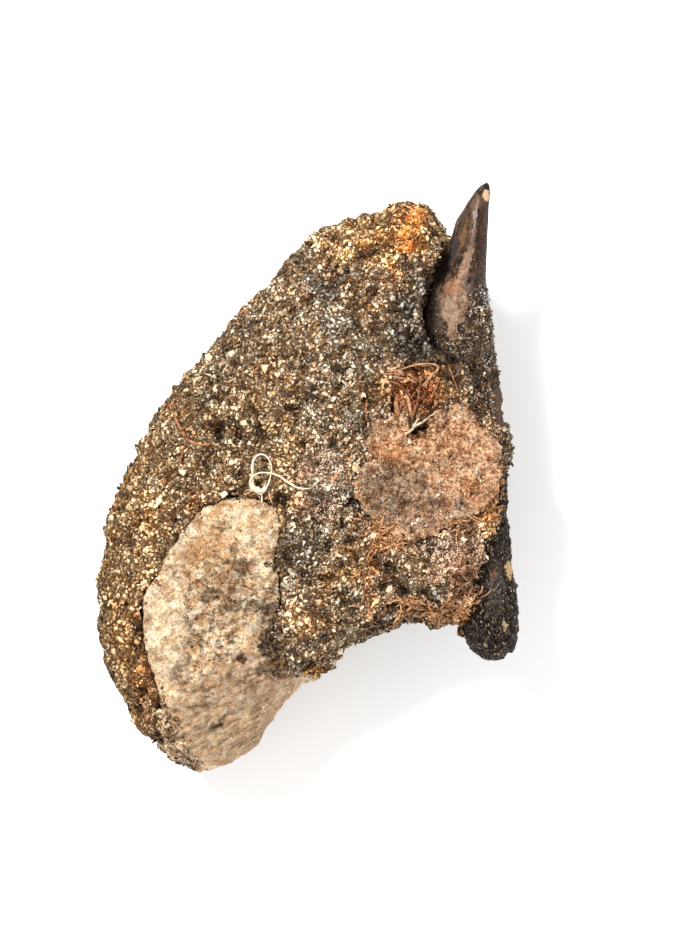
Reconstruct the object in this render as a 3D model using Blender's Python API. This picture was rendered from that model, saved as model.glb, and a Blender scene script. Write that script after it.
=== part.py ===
"""A fossil mammal tooth held in a loose piece of sandstone, lying as it rests on a table.

Four pieces: the tooth, the sandstone matrix around it, a pale mudstone clast
cemented in the matrix, and a thin brown clay crust on top of it.
Frame: +Z up, +Y towards the crown's tip, the origin at the middle of the flat
underside that the stone rests on. Tables are in millimetres, meshes in metres.
"""

import math
import random

import bmesh
import bpy
from mathutils import Vector, geometry, noise
from mathutils.bvhtree import BVHTree

MM = 0.001

# Fit between neighbouring pieces, and the mesh's fineness.
GAP = 0.3
RIM_SPACING = 1.75
TOP_SPACING = 1.55
UNDERSIDE_SPACING = 3.4
FINE_SPACING = 1.25
EASING = 2.0
SEED = 7

# The stone: its outline seen from above, anticlockwise from below the crown's tip.
STONE_OUTLINE = [
    (15.3, 27.0), (14.4, 28.4), (13.0, 29.7), (11.6, 30.3), (9.8, 30.3), (8.4, 29.7),
    (5.3, 28.8), (2.0, 27.5), (-0.2, 26.4), (-2.1, 24.3), (-3.4, 22.6), (-6.0, 20.0),
    (-8.8, 17.1), (-11.2, 13.9), (-13.6, 11.2), (-16.0, 9.3), (-17.2, 6.9), (-18.8, 3.6),
    (-19.4, 1.6), (-20.8, -0.2), (-21.4, -2.6), (-22.4, -5.0), (-23.2, -10.3), (-23.2, -16.5),
    (-22.8, -20.0), (-21.4, -23.2), (-19.8, -26.6), (-17.3, -29.1), (-14.6, -31.2),
    (-12.0, -32.4), (-8.7, -31.7), (-6.2, -30.0), (-4.8, -27.5), (-2.4, -24.5),
    (-0.9, -22.7), (1.4, -22.3), (3.4, -20.6), (5.1, -18.7), (7.2, -17.6), (9.2, -17.2),
    (10.8, -16.0), (11.9, -15.4), (12.9, -16.3), (14.2, -17.1), (15.8, -16.6),
    (17.1, -14.8), (17.7, -12.8), (18.4, -11.2), (19.1, -9.4), (19.9, -7.4), (20.5, -5.0),
    (20.9, -2.8), (21.7, -1.0), (22.5, 1.2), (22.9, 3.4), (22.6, 4.9), (21.3, 6.2),
    (20.3, 7.8), (19.8, 10.0), (19.2, 13.0), (18.9, 16.0), (18.8, 18.8), (18.3, 21.3),
    (17.5, 23.7), (16.5, 25.4),
]
PLATEAU = 21.0
# Relief of the upper surface: x, y, half width across x, half width across y, rise.
RELIEF = [
    (2.0, 15.0, 9.0, 9.0, 1.6),        # broad swell of the upper flank
    (-17.5, -8.0, 5.0, 8.0, 0.6),      # left lobe
    (-14.0, 3.0, 4.0, 2.6, -1.3),      # step below the upper flank
    (-11.3, 6.6, 1.7, 1.6, 1.7),       # knob on the step
    (-9.4, 5.1, 0.9, 0.9, -2.6),       # pit beside the knob
    (-7.7, 4.4, 0.9, 0.8, -1.8),       # second pit
    (-3.0, -2.7, 0.9, 0.8, -2.2),      # pit at the head of the mudstone
    (3.0, -7.0, 4.0, 3.6, -1.5),       # saddle between mudstone and crust
    (1.6, -17.0, 3.0, 3.2, 1.5),       # lower lobe
    (-3.4, -17.6, 1.1, 3.4, -2.2),     # crevice between mudstone and lower lobe
    (-0.8, -20.6, 1.6, 1.0, -2.0),     # its outer end
    (11.4, 9.6, 3.0, 2.1, -2.1),       # hollow with the rootlets
    (9.8, 7.9, 0.9, 1.4, -1.4),        # slot in that hollow
    (7.7, 7.3, 1.1, 1.1, -1.2),        # small hollow beside it
    (15.5, -10.0, 3.4, 3.4, 1.1),      # swell above the root
    (7.6, -12.5, 1.4, 4.0, -1.3),      # furrow along the rootlets
    (-9.0, -27.0, 5.0, 5.5, -3.0),     # lower end falls away
]
LUMP_SIZE = 5.5
LUMP_RISE = 1.0
GRIT_SIZE = 2.1
GRIT_SHIFT = 0.34
SIDE_LUMP_SIZE = 6.5
SIDE_LUMP_SHIFT = 1.8
SIDE_LUMP_TOP = 11.0
SIDE_LUMP_FADE = 5.0
RIM_HEIGHT_LEFT = 9.5
RIM_HEIGHT_RIGHT = 12.0
RIM_WANDER = 3.2
RIM_WANDER_SIZE = 9.0
TOP_ROLL_LEFT = 6.0
TOP_ROLL_RIGHT = 2.2
UNDERSIDE_ROLL = 7.5
ROLL_STEPS = 6
ROLL_SLOPE = 1.7
HALF_WIDTH = 23.0
REST_HALF_X = 8.0
REST_HALF_Y = 10.0
UNDERSIDE_HOLLOW = 1.6
UNDERSIDE_LUMP_SIZE = 8.0

# The tooth's axis from root end to crown tip: x, y, z, half width.
TOOTH_STATIONS = [
    (20.6, -19.95, 13.7, 0.5), (20.5, -19.6, 13.75, 1.7), (20.35, -18.9, 13.8, 2.45),
    (20.1, -17.6, 13.9, 2.9), (19.55, -13.5, 14.2, 3.15), (18.9, -10.2, 14.4, 3.35),
    (18.3, -6.5, 14.6, 3.6), (17.8, -1.6, 14.8, 3.85), (17.5, 3.0, 14.9, 3.9),
    (17.3, 7.0, 15.0, 3.95), (16.8, 10.7, 15.1, 3.8), (16.45, 14.5, 15.3, 3.75),
    (16.3, 18.4, 15.6, 3.45), (16.5, 21.3, 15.8, 2.95), (17.15, 24.2, 16.1, 2.3),
    (17.8, 27.6, 16.4, 1.8), (18.4, 29.5, 16.6, 1.32), (18.9, 30.8, 16.7, 0.95),
    (19.25, 31.7, 16.75, 0.64), (19.5, 32.25, 16.8, 0.26),
]
TOOTH_AROUND = 24
TOOTH_RING_SPACING = 1.55
TOOTH_FLATNESS = 0.92
TOOTH_END_RISE = 0.12
CROWN_START = 14.0
RIDGE_ANGLE = math.radians(58)
RIDGE_WIDTH = math.radians(17)
RIDGE_RISE = 0.09
ROOT_FLUTE = 0.05

# The stone is open above the crown inside this outline.
CROWN_WINDOW = [
    (15.1, 26.6), (14.2, 23.9), (13.1, 22.4), (12.7, 21.0), (12.4, 19.4), (12.3, 16.8),
    (12.8, 15.1), (13.7, 14.1), (15.0, 13.6), (17.0, 13.4), (19.0, 12.6), (21.4, 12.0),
    (22.4, 14.0), (22.4, 18.0), (22.4, 22.0), (21.5, 26.0), (19.5, 28.2), (17.2, 28.4),
]
WINDOW_FLOOR = 15.2

# The mudstone's outline; it runs past the stone's rim at the lower end.
MUDSTONE_OUTLINE = [
    (-12.1, -5.5), (-9.8, -3.7), (-7.7, -3.2), (-5.6, -3.1), (-3.6, -4.2), (-4.1, -6.6),
    (-4.7, -8.7), (-3.7, -11.2), (-3.4, -13.3), (-4.4, -15.4), (-5.3, -17.3), (-4.3, -19.5),
    (-2.2, -21.0), (-0.9, -22.4), (1.5, -25.0), (-1.0, -29.5), (-5.0, -34.0), (-10.0, -36.0),
    (-14.0, -35.0), (-13.6, -31.2), (-15.1, -29.0), (-15.4, -26.8), (-15.2, -24.4),
    (-16.3, -21.0), (-17.3, -16.8), (-17.6, -14.6), (-16.9, -12.5), (-14.9, -9.7),
    (-13.8, -7.6),
]
MUDSTONE_FLOOR_HEAD = 15.5
MUDSTONE_FLOOR_FOOT = 5.5
MUDSTONE_HEAD_Y = -4.0
MUDSTONE_FOOT_Y = -24.0
MUDSTONE_ROLL = 3.4
BED_TOP = 30.0

# The crust's outline and how far it stands above and below the stone's surface.
CRUST_OUTLINE = [
    (7.4, 5.2), (8.3, 6.3), (9.4, 6.6), (10.3, 6.1), (10.8, 4.9), (11.9, 4.1), (13.1, 4.7),
    (13.8, 6.0), (14.6, 7.1), (15.6, 7.6), (16.9, 7.4), (18.2, 6.4), (19.2, 5.2),
    (20.2, 3.6), (20.5, 2.0), (20.3, 0.0), (19.7, -1.8), (18.6, -3.2), (17.1, -4.4),
    (14.8, -5.3), (13.2, -6.1), (11.7, -6.6), (10.1, -6.5), (8.8, -5.6), (7.3, -4.2),
    (5.9, -2.6), (5.5, -1.0), (6.2, 0.6), (6.8, 1.9), (7.1, 3.5),
]
CRUST_ABOVE = 0.85
CRUST_BELOW = 0.75
CRUST_SAG = 0.5
CRUST_ROLL = 0.7
CRUST_STEPS = 2


def smooth_loop(points, spacing):
    """Points about one spacing apart on a closed smooth curve through the given points."""
    fine = []
    count = len(points)
    steps = 12
    for i in range(count):
        before, start, end, after = (Vector(points[(i + k) % count]) for k in (-1, 0, 1, 2))
        for step in range(steps):
            t = step / steps
            fine.append(0.5 * (
                2 * start
                + (end - before) * t
                + (2 * before - 5 * start + 4 * end - after) * t ** 2
                + (3 * start - before - 3 * end + after) * t ** 3
            ))
    return even_points(fine + [fine[0]], spacing)[:-1]


def even_points(line, spacing):
    """The line's points again, at equal distances of about one spacing, with both ends kept."""
    lengths = [0.0]
    for a, b in zip(line, line[1:]):
        lengths.append(lengths[-1] + (b - a).length)
    count = max(3, round(lengths[-1] / spacing))
    made = []
    piece = 0
    for i in range(count + 1):
        wanted = lengths[-1] * i / count
        while piece < len(line) - 2 and lengths[piece + 1] < wanted:
            piece += 1
        share = (wanted - lengths[piece]) / (lengths[piece + 1] - lengths[piece])
        made.append(line[piece].lerp(line[piece + 1], min(max(share, 0.0), 1.0)))
    return made


def inset(ring, steps):
    """The ring moved inwards by each point's step, with its corners eased."""
    count = len(ring)
    moved = []
    for i, (point, step) in enumerate(zip(ring, steps)):
        along = ring[(i + 1) % count] - ring[i - 1]
        moved.append(point + Vector((-along.y, along.x)).normalized() * step)
    for _ in range(round(EASING * max(abs(step) for step in steps))):
        moved = [(moved[i - 1] + 2 * moved[i] + moved[(i + 1) % count]) / 4 for i in range(count)]
    return moved


def inside(point, ring):
    """Whether a plan point lies inside a closed ring."""
    hit = False
    for a, b in zip(ring, ring[1:] + ring[:1]):
        if (a.y > point.y) != (b.y > point.y):
            hit ^= point.x < a.x + (point.y - a.y) * (b.x - a.x) / (b.y - a.y)
    return hit


def edge_distance(point, ring):
    """How far a plan point is from the nearest edge of a closed ring."""
    nearest = math.inf
    for a, b in zip(ring, ring[1:] + ring[:1]):
        on_edge, share = geometry.intersect_point_line(point, a, b)
        on_edge = a.lerp(b, min(max(share, 0.0), 1.0)).xy
        nearest = min(nearest, (point - on_edge).length)
    return nearest


def grid_inside(ring, spacing):
    """A slightly shaken triangular grid of plan points inside a ring, clear of its edge."""
    shake = random.Random(SEED)
    low_x, high_x = min(p.x for p in ring), max(p.x for p in ring)
    low_y, high_y = min(p.y for p in ring), max(p.y for p in ring)
    row_height = spacing * math.sqrt(3) / 2
    found = []
    for row in range(int((high_y - low_y) / row_height) + 1):
        for column in range(int((high_x - low_x) / spacing) + 2):
            point = Vector((
                low_x + (column + 0.5 * (row % 2) + shake.uniform(-0.2, 0.2)) * spacing,
                low_y + (row + shake.uniform(-0.2, 0.2)) * row_height,
            ))
            if inside(point, ring) and edge_distance(point, ring) > 0.55 * spacing:
                found.append(point)
    return found


def add_side(bm, rim, surface, roll, roll_steps, spacing):
    """Rolls one side of a body over from its rim to a surface, and closes it with a cap."""
    count = len(rim)
    ring = [vert.co.xy for vert in rim]
    rim_heights = [vert.co.z for vert in rim]
    below = rim
    turned = 0.0
    for k in range(1, roll_steps + 1):
        turn = k / roll_steps
        share = turn ** ROLL_SLOPE - turned ** ROLL_SLOPE
        turned = turn
        ring = inset(ring, [roll(point) * share for point in ring])
        verts = []
        for point, height in zip(ring, rim_heights):
            z = height + (surface(point) - height) * math.sin(math.pi / 2 * turn)
            verts.append(bm.verts.new((point.x, point.y, z)))
        for i in range(count):
            j = (i + 1) % count
            bm.faces.new((below[i], below[j], verts[j], verts[i]))
        below = verts
    plan = ring + grid_inside(ring, spacing)
    edges = [(i, (i + 1) % count) for i in range(count)]
    points, _, faces, sources, _, _ = geometry.delaunay_2d_cdt(plan, edges, [], 1, 1e-4)
    cap = []
    for point, source in zip(points, sources):
        first = min(source) if source else count
        on_ring = first < count
        cap.append(below[first] if on_ring else bm.verts.new((*point, surface(point))))
    for face in faces:
        bm.faces.new([cap[i] for i in face])


def mesh_object(name, bm, material=None):
    """An object from a mesh in millimetres. Without a material it is a cutter, which isn't a piece."""
    bmesh.ops.recalc_face_normals(bm, faces=bm.faces)
    bmesh.ops.scale(bm, vec=(MM, MM, MM), verts=bm.verts)
    mesh = bpy.data.meshes.new(name)
    bm.to_mesh(mesh)
    bm.free()
    made = bpy.data.objects.new(name, mesh)
    bpy.context.scene.collection.objects.link(made)
    if material:
        mesh.materials.append(material)
    else:
        made.hide_render = True
        made.display_type = "WIRE"
    return made


def swell(bm, by):
    """Moves every point of a closed body out along its normal, and returns the body."""
    bmesh.ops.recalc_face_normals(bm, faces=bm.faces)
    bm.normal_update()
    moved = [vert.co + vert.normal * by for vert in bm.verts]
    for vert, place in zip(bm.verts, moved):
        vert.co = place
    return bm


def boolean(target, name, operation):
    """A Boolean on the target, still without its cutter."""
    modifier = target.modifiers.new(name, "BOOLEAN")
    modifier.operation = operation
    modifier.solver = "EXACT"
    return modifier


def finish(name, colour, roughness):
    """A plain material for one piece."""
    material = bpy.data.materials.new(name)
    material.use_nodes = True
    shader = material.node_tree.nodes["Principled BSDF"]
    shader.inputs["Base Color"].default_value = (*colour, 1.0)
    shader.inputs["Roughness"].default_value = roughness
    shader.inputs["Metallic"].default_value = 0.0
    return material


def across(point, left, right):
    """A value that runs from left to right over the stone's right half."""
    share = min(max(point.x / HALF_WIDTH, 0.0), 1.0)
    return left + (right - left) * share


def stone_top(point):
    """Height of the stone's upper surface over a plan point."""
    height = PLATEAU
    for x, y, half_x, half_y, rise in RELIEF:
        height += rise * math.exp(-(((point.x - x) / half_x) ** 2 + ((point.y - y) / half_y) ** 2))
    return height + LUMP_RISE * noise.noise(Vector((point.x, point.y, 3.0)) / LUMP_SIZE)


def stone_underside(point):
    """Height of the underside: flat where the stone rests, with shallow hollows round that."""
    lumps = noise.noise(Vector((point.x, point.y, -9.0)) / UNDERSIDE_LUMP_SIZE)
    away = max(abs(point.x) / REST_HALF_X, abs(point.y) / REST_HALF_Y, 1.0) - 1.0
    return max(0.0, UNDERSIDE_HOLLOW * (lumps + 0.25) * min(away * 4.0, 1.0))


def shake(place, apart):
    """A smooth random shift for a place in a noise field; fields with other offsets are unlike."""
    return Vector([noise.noise(place + Vector((0, 0, apart + k * 31))) for k in range(3)])


def roughen(bm):
    """Shifts each point of a broken surface a little, and leaves the resting plane flat."""
    for vert in bm.verts:
        if vert.co.z > 0.02:
            low = min(max((SIDE_LUMP_TOP - vert.co.z) / SIDE_LUMP_FADE, 0.0), 1.0)
            shift = shake(vert.co / GRIT_SIZE, 0) * GRIT_SHIFT
            shift += shake(vert.co / SIDE_LUMP_SIZE, 200) * SIDE_LUMP_SHIFT * low
            vert.co += shift
            vert.co.z = max(vert.co.z, 0.05)
    return bm


def stone_form():
    """The whole stone before its pieces are parted, still smooth, as a bmesh."""
    bm = bmesh.new()
    rim = []
    for point in smooth_loop(STONE_OUTLINE, RIM_SPACING):
        height = across(point, RIM_HEIGHT_LEFT, RIM_HEIGHT_RIGHT)
        height += RIM_WANDER * noise.noise(Vector((point.x, point.y, 40.0)) / RIM_WANDER_SIZE)
        rim.append(bm.verts.new((point.x, point.y, height)))

    def top_roll(point):
        return across(point, TOP_ROLL_LEFT, TOP_ROLL_RIGHT)

    def underside_roll(point):
        lumps = noise.noise(Vector((point.x, point.y, 80.0)) / RIM_WANDER_SIZE)
        return UNDERSIDE_ROLL * (1.0 + 0.6 * lumps)

    add_side(bm, rim, stone_top, top_roll, ROLL_STEPS, TOP_SPACING)
    add_side(bm, rim, stone_underside, underside_roll, ROLL_STEPS - 1, UNDERSIDE_SPACING)
    return bm


def prism(name, outline, low, high):
    """A cutter with upright walls over a plan outline."""
    bm = bmesh.new()
    floor = bm.faces.new([bm.verts.new((*point, low)) for point in smooth_loop(outline, 1.0)])
    raised = bmesh.ops.extrude_face_region(bm, geom=[floor])["geom"]
    moved = [item for item in raised if isinstance(item, bmesh.types.BMVert)]
    bmesh.ops.translate(bm, verts=moved, vec=(0, 0, high - low))
    return mesh_object(name, bm)


def mudstone_bowl():
    """The bowl in the stone that the mudstone fills, as a bmesh with a lid far above."""
    bm = bmesh.new()
    rim = [bm.verts.new((*point, BED_TOP)) for point in smooth_loop(MUDSTONE_OUTLINE, RIM_SPACING)]

    def floor(point):
        share = (point.y - MUDSTONE_FOOT_Y) / (MUDSTONE_HEAD_Y - MUDSTONE_FOOT_Y)
        share = min(max(share, 0.0), 1.0)
        return MUDSTONE_FLOOR_FOOT + (MUDSTONE_FLOOR_HEAD - MUDSTONE_FLOOR_FOOT) * share

    def roll(_):
        return MUDSTONE_ROLL

    add_side(bm, rim, floor, roll, ROLL_STEPS - 1, UNDERSIDE_SPACING)
    bm.faces.new(rim)
    return bm


def crust_form():
    """The clay crust that follows the stone's skin, as a bmesh."""
    stone = stone_form()
    skin = BVHTree.FromBMesh(stone)
    stone.free()

    def height(point):
        hit = skin.ray_cast(Vector((point.x, point.y, BED_TOP)), Vector((0, 0, -1)))[0]
        return max(hit.z, stone_top(point) - CRUST_SAG)

    def above(point):
        return height(point) + CRUST_ABOVE

    def below(point):
        return height(point) - CRUST_BELOW

    def roll(_):
        return CRUST_ROLL

    bm = bmesh.new()
    rim = []
    for point in smooth_loop(CRUST_OUTLINE, FINE_SPACING):
        rim.append(bm.verts.new((point.x, point.y, height(point))))
    add_side(bm, rim, above, roll, CRUST_STEPS, FINE_SPACING)
    add_side(bm, rim, below, roll, CRUST_STEPS, FINE_SPACING)
    return roughen(bm)


def tooth_radius(half_width, angle, y):
    """The tooth's radius at an angle round it: a ridge down the crown, a shallow flute on the root."""
    off_ridge = math.remainder(angle - RIDGE_ANGLE, 2 * math.pi)
    if y > CROWN_START:
        return half_width * (1 + RIDGE_RISE * math.exp(-((off_ridge / RIDGE_WIDTH) ** 2)))
    return half_width * (1 - ROOT_FLUTE * math.cos(2 * (angle - RIDGE_ANGLE)) ** 2)


def tooth_form():
    """The whole tooth, crown and root, as a bmesh."""
    axis = smooth_stations()
    bm = bmesh.new()
    rings = []
    for i, station in enumerate(axis):
        ahead = axis[min(i + 1, len(axis) - 1)].xyz - axis[max(i - 1, 0)].xyz
        side = ahead.cross(Vector((0, 0, 1))).normalized()
        up = side.cross(ahead).normalized()
        ring = []
        for k in range(TOOTH_AROUND):
            angle = 2 * math.pi * k / TOOTH_AROUND
            radius = tooth_radius(station.w, angle, station.y)
            out = side * math.cos(angle) + up * math.sin(angle) * TOOTH_FLATNESS
            ring.append(bm.verts.new(station.xyz + out * radius))
        rings.append(ring)
    for lower, upper in zip(rings, rings[1:]):
        for k in range(TOOTH_AROUND):
            j = (k + 1) % TOOTH_AROUND
            bm.faces.new((lower[k], lower[j], upper[j], upper[k]))
    for ring, station, sense in ((rings[0], axis[0], -1), (rings[-1], axis[-1], 1)):
        end = bm.verts.new(station.xyz + Vector((0, sense * TOOTH_END_RISE, 0)))
        for k in range(TOOTH_AROUND):
            bm.faces.new((ring[k], ring[(k + 1) % TOOTH_AROUND], end))
    return bm


def smooth_stations():
    """The tooth's stations on a smooth line, close together at its two ends."""
    points = [Vector(station) for station in TOOTH_STATIONS]
    fine = []
    for i in range(len(points) - 1):
        before, start = points[max(i - 1, 0)], points[i]
        end, after = points[i + 1], points[min(i + 2, len(points) - 1)]
        count = max(1, round((end.xyz - start.xyz).length / TOOTH_RING_SPACING))
        for step in range(count):
            t = step / count
            fine.append(0.5 * (
                2 * start
                + (end - before) * t
                + (2 * before - 5 * start + 4 * end - after) * t ** 2
                + (3 * start - before - 3 * end + after) * t ** 3
            ))
    return fine + [points[-1]]


def build():
    """Clears the scene and makes the four pieces and their cutters."""
    for old in list(bpy.data.objects):
        bpy.data.objects.remove(old)
    sand = finish("sandstone", (0.30, 0.24, 0.15), 0.85)
    enamel = finish("tooth_enamel", (0.055, 0.042, 0.036), 0.35)
    mud = finish("mudstone", (0.56, 0.45, 0.33), 0.9)
    clay = finish("clay_crust", (0.45, 0.29, 0.19), 0.9)

    tooth = mesh_object("tooth", tooth_form(), enamel)
    tooth.data.shade_smooth()
    mesh_object("clay_crust", crust_form(), clay)
    mudstone = mesh_object("mudstone_clast", roughen(stone_form()), mud)
    kept = boolean(mudstone, "mudstone_bowl", "INTERSECT")
    kept.object = mesh_object("mudstone_bowl", mudstone_bowl())

    matrix = mesh_object("sandstone_matrix", roughen(stone_form()), sand)
    cuts = bpy.data.collections.new("stone_cuts")
    bpy.context.scene.collection.children.link(cuts)
    for cut in (
        mesh_object("mudstone_socket", swell(mudstone_bowl(), GAP)),
        mesh_object("crust_bed", swell(crust_form(), GAP)),
        mesh_object("tooth_socket", swell(tooth_form(), GAP)),
        prism("crown_window", CROWN_WINDOW, WINDOW_FLOOR, BED_TOP),
    ):
        bpy.context.scene.collection.objects.unlink(cut)
        cuts.objects.link(cut)
    parted = boolean(matrix, "stone_cuts", "DIFFERENCE")
    parted.operand_type = "COLLECTION"
    parted.collection = cuts


build()
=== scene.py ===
"""The looks of the fossil tooth: fine stone, sand grains, rootlets, materials, light and camera.

Lengths are in millimetres, and MM turns them into Blender's metres. A place named by a pixel
is one on the photograph, which looks straight down on the part; the piece there is put on
whatever surface lies under that pixel.
"""

import math

import bmesh
import bpy
import numpy as np
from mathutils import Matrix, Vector, noise
from mathutils.bvhtree import BVHTree
from mathutils.kdtree import KDTree


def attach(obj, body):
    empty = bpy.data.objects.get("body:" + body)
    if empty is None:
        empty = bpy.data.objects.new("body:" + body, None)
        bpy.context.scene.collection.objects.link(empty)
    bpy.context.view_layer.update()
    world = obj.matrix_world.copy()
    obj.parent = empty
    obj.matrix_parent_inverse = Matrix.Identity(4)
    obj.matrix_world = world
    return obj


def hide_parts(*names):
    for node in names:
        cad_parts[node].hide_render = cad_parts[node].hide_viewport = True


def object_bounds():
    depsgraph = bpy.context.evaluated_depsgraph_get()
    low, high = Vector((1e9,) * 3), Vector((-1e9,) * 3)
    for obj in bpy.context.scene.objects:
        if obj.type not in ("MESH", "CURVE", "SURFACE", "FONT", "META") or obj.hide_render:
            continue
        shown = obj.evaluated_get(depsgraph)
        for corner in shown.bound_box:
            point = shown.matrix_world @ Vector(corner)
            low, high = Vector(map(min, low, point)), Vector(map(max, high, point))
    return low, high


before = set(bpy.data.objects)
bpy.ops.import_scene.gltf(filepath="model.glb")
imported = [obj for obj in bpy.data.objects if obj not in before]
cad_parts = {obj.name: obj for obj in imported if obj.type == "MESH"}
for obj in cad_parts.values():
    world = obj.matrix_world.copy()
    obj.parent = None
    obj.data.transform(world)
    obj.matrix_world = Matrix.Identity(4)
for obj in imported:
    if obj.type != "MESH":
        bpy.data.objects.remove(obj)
cad_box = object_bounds()

MM = 0.001
SEED = 11

# The photograph: what one pixel spans, the pixel over the frame's origin, and its middle.
PIXEL = 0.11
ORIGIN_PX = (308, 477)
MIDDLE_PX = (350, 472.5)
IMAGE_HEIGHT = 945
VIEW_PLANE = 14.0
CAMERA_DISTANCE = 500.0
SENSOR = 36.0

# Fineness of the surfaces that replace the CAD's.
STONE_VOXEL = 0.41
TOOTH_VOXEL = 0.21
CLAST_VOXEL = 0.225
CRUST_VOXEL = 0.2

# Points of the CAD this near are one; each smoothing moves a point by this share.
WELD = 0.001
SMOOTHING_SHARE = 0.5
# The sandstone this near to another piece is drawn onto it.
SEAM_REACH = 0.85

# Heights that the fine surface and the grains stay under.
STONE_TOP = cad_box[1].z / MM + 0.3
GRAIN_CEILING = cad_box[1].z / MM + 0.55

# Heights of the surfaces that the photograph shows, for marks in their materials.
CLAST_HEIGHT = 20.0
CRUST_HEIGHT = 22.0
CROWN_HEIGHT = 18.0

rng = np.random.default_rng(SEED)
# The fine pieces and search trees over them, by the names stone, tooth, clast and crust.
PIECES = {}
TREES = {}


# ---------------------------------------------------------------- places

CAMERA_PLACE = Vector((
    (MIDDLE_PX[0] - ORIGIN_PX[0]) * PIXEL,
    (ORIGIN_PX[1] - MIDDLE_PX[1]) * PIXEL,
    VIEW_PLANE + CAMERA_DISTANCE,
))


def plan(px, py, height=VIEW_PLANE):
    """The place at some height that the photograph shows at a pixel, in millimetres."""
    nearness = (CAMERA_PLACE.z - height) / CAMERA_DISTANCE
    x = CAMERA_PLACE.x + (px - MIDDLE_PX[0]) * PIXEL * nearness
    y = CAMERA_PLACE.y - (py - MIDDLE_PX[1]) * PIXEL * nearness
    return Vector((x, y, height))


def pixels_of(places):
    """The pixels at which the photograph shows these places."""
    nearness = (CAMERA_PLACE.z - places[:, 2]) / CAMERA_DISTANCE
    px = MIDDLE_PX[0] + (places[:, 0] - CAMERA_PLACE.x) / nearness / PIXEL
    py = MIDDLE_PX[1] - (places[:, 1] - CAMERA_PLACE.y) / nearness / PIXEL
    return px, py


def fractal(place, *octaves):
    """A sum of smooth noises at a place, each given as (size, height)."""
    total = 0.0
    for i, (size, height) in enumerate(octaves):
        total += height * noise.noise(place / size + Vector((0, 0, 17.3 * i)))
    return total


def clouds(places, *octaves, apart=0.0):
    """The same sum for rows of places; fields with other offsets are unlike."""
    offset = Vector((apart, -apart, apart))
    return np.array([fractal(Vector(place) + offset, *octaves) for place in places])


# ---------------------------------------------------------------- surfaces

def link(name, mesh, material=None):
    """A new object with this mesh, in the scene and riding on the part."""
    piece = bpy.data.objects.new(name, mesh)
    bpy.context.scene.collection.objects.link(piece)
    if material:
        mesh.materials.append(material)
    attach(piece, "root")
    return piece


def mesh_of(name, points, faces):
    """A mesh from rows of points in millimetres and rows of three point numbers."""
    mesh = bpy.data.meshes.new(name)
    mesh.vertices.add(len(points))
    mesh.vertices.foreach_set("co", (points * MM).astype(np.float32).ravel())
    mesh.loops.add(faces.size)
    mesh.loops.foreach_set("vertex_index", faces.astype(np.int32).ravel())
    mesh.polygons.add(len(faces))
    mesh.polygons.foreach_set("loop_start", np.arange(0, faces.size, 3, dtype=np.int32))
    mesh.update(calc_edges=True)
    return mesh


def points_of(mesh):
    """The mesh's vertex places as rows, in millimetres."""
    flat = np.empty(len(mesh.vertices) * 3, np.float32)
    mesh.vertices.foreach_get("co", flat)
    return flat.reshape(-1, 3).astype(float) / MM


def normals_of(mesh):
    """The mesh's vertex normals as rows."""
    flat = np.empty(len(mesh.vertices) * 3, np.float32)
    mesh.vertex_normals.foreach_get("vector", flat)
    return flat.reshape(-1, 3).astype(float)


def triangles_of(mesh):
    """The mesh's triangles as rows of vertex numbers."""
    mesh.calc_loop_triangles()
    flat = np.empty(len(mesh.loop_triangles) * 3, np.int32)
    mesh.loop_triangles.foreach_get("vertices", flat)
    return flat.reshape(-1, 3)


def add_layer(mesh, key, values, domain="FACE"):
    """Stores a number, or a colour as the tint, for each face or point; a material reads it by its name."""
    kind, field = "FLOAT", "value"
    if key == "tint":
        kind, field = "FLOAT_COLOR", "color"
        values = np.hstack([values, np.ones((len(values), 1))])
    layer = mesh.attributes.new(key, kind, domain)
    layer.data.foreach_set(field, values.astype(np.float32).ravel())


def fine_copy(node, name, voxel, smoothing, lumps=()):
    """A finely meshed copy of a CAD node, with lumps added, that stands for it."""
    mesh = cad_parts[node].data.copy()
    form = bmesh.new()
    form.from_mesh(mesh)
    bmesh.ops.remove_doubles(form, verts=form.verts, dist=WELD * MM)
    for px, py, height, half_width, half_height in lumps:
        ball = bmesh.ops.create_icosphere(form, subdivisions=3, radius=1.0)["verts"]
        bmesh.ops.scale(form, vec=Vector((half_width, half_width, half_height)) * MM, verts=ball)
        bmesh.ops.translate(form, vec=plan(px, py, height) * MM, verts=ball)
    form.to_mesh(mesh)
    form.free()
    piece = link(name, mesh)
    remesh = piece.modifiers.new("remesh", "REMESH")
    remesh.mode = "VOXEL"
    remesh.voxel_size = voxel * MM
    ease = piece.modifiers.new("ease", "SMOOTH")
    ease.factor = SMOOTHING_SHARE
    ease.iterations = smoothing
    graph = bpy.context.evaluated_depsgraph_get()
    fine = bpy.data.meshes.new_from_object(piece.evaluated_get(graph))
    piece.modifiers.clear()
    piece.data = fine
    piece.data.materials.clear()
    piece.data.shade_smooth()
    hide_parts(node)
    return piece


def raise_surface(piece, height, shift=(0, 0, 0)):
    """Moves each point of a piece along its normal by height(place, normal), then by a shift.

    Returns the points and how far each was moved.
    """
    places = points_of(piece.data)
    normals = normals_of(piece.data)
    lifts = np.array([height(Vector(place), Vector(normal)) for place, normal in zip(places, normals)])
    places += normals * lifts[:, None] + np.array(shift)
    places[:, 2] = np.clip(places[:, 2], 0.0, STONE_TOP)
    piece.data.vertices.foreach_set("co", (places * MM).astype(np.float32).ravel())
    piece.data.update()
    return places, lifts


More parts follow.
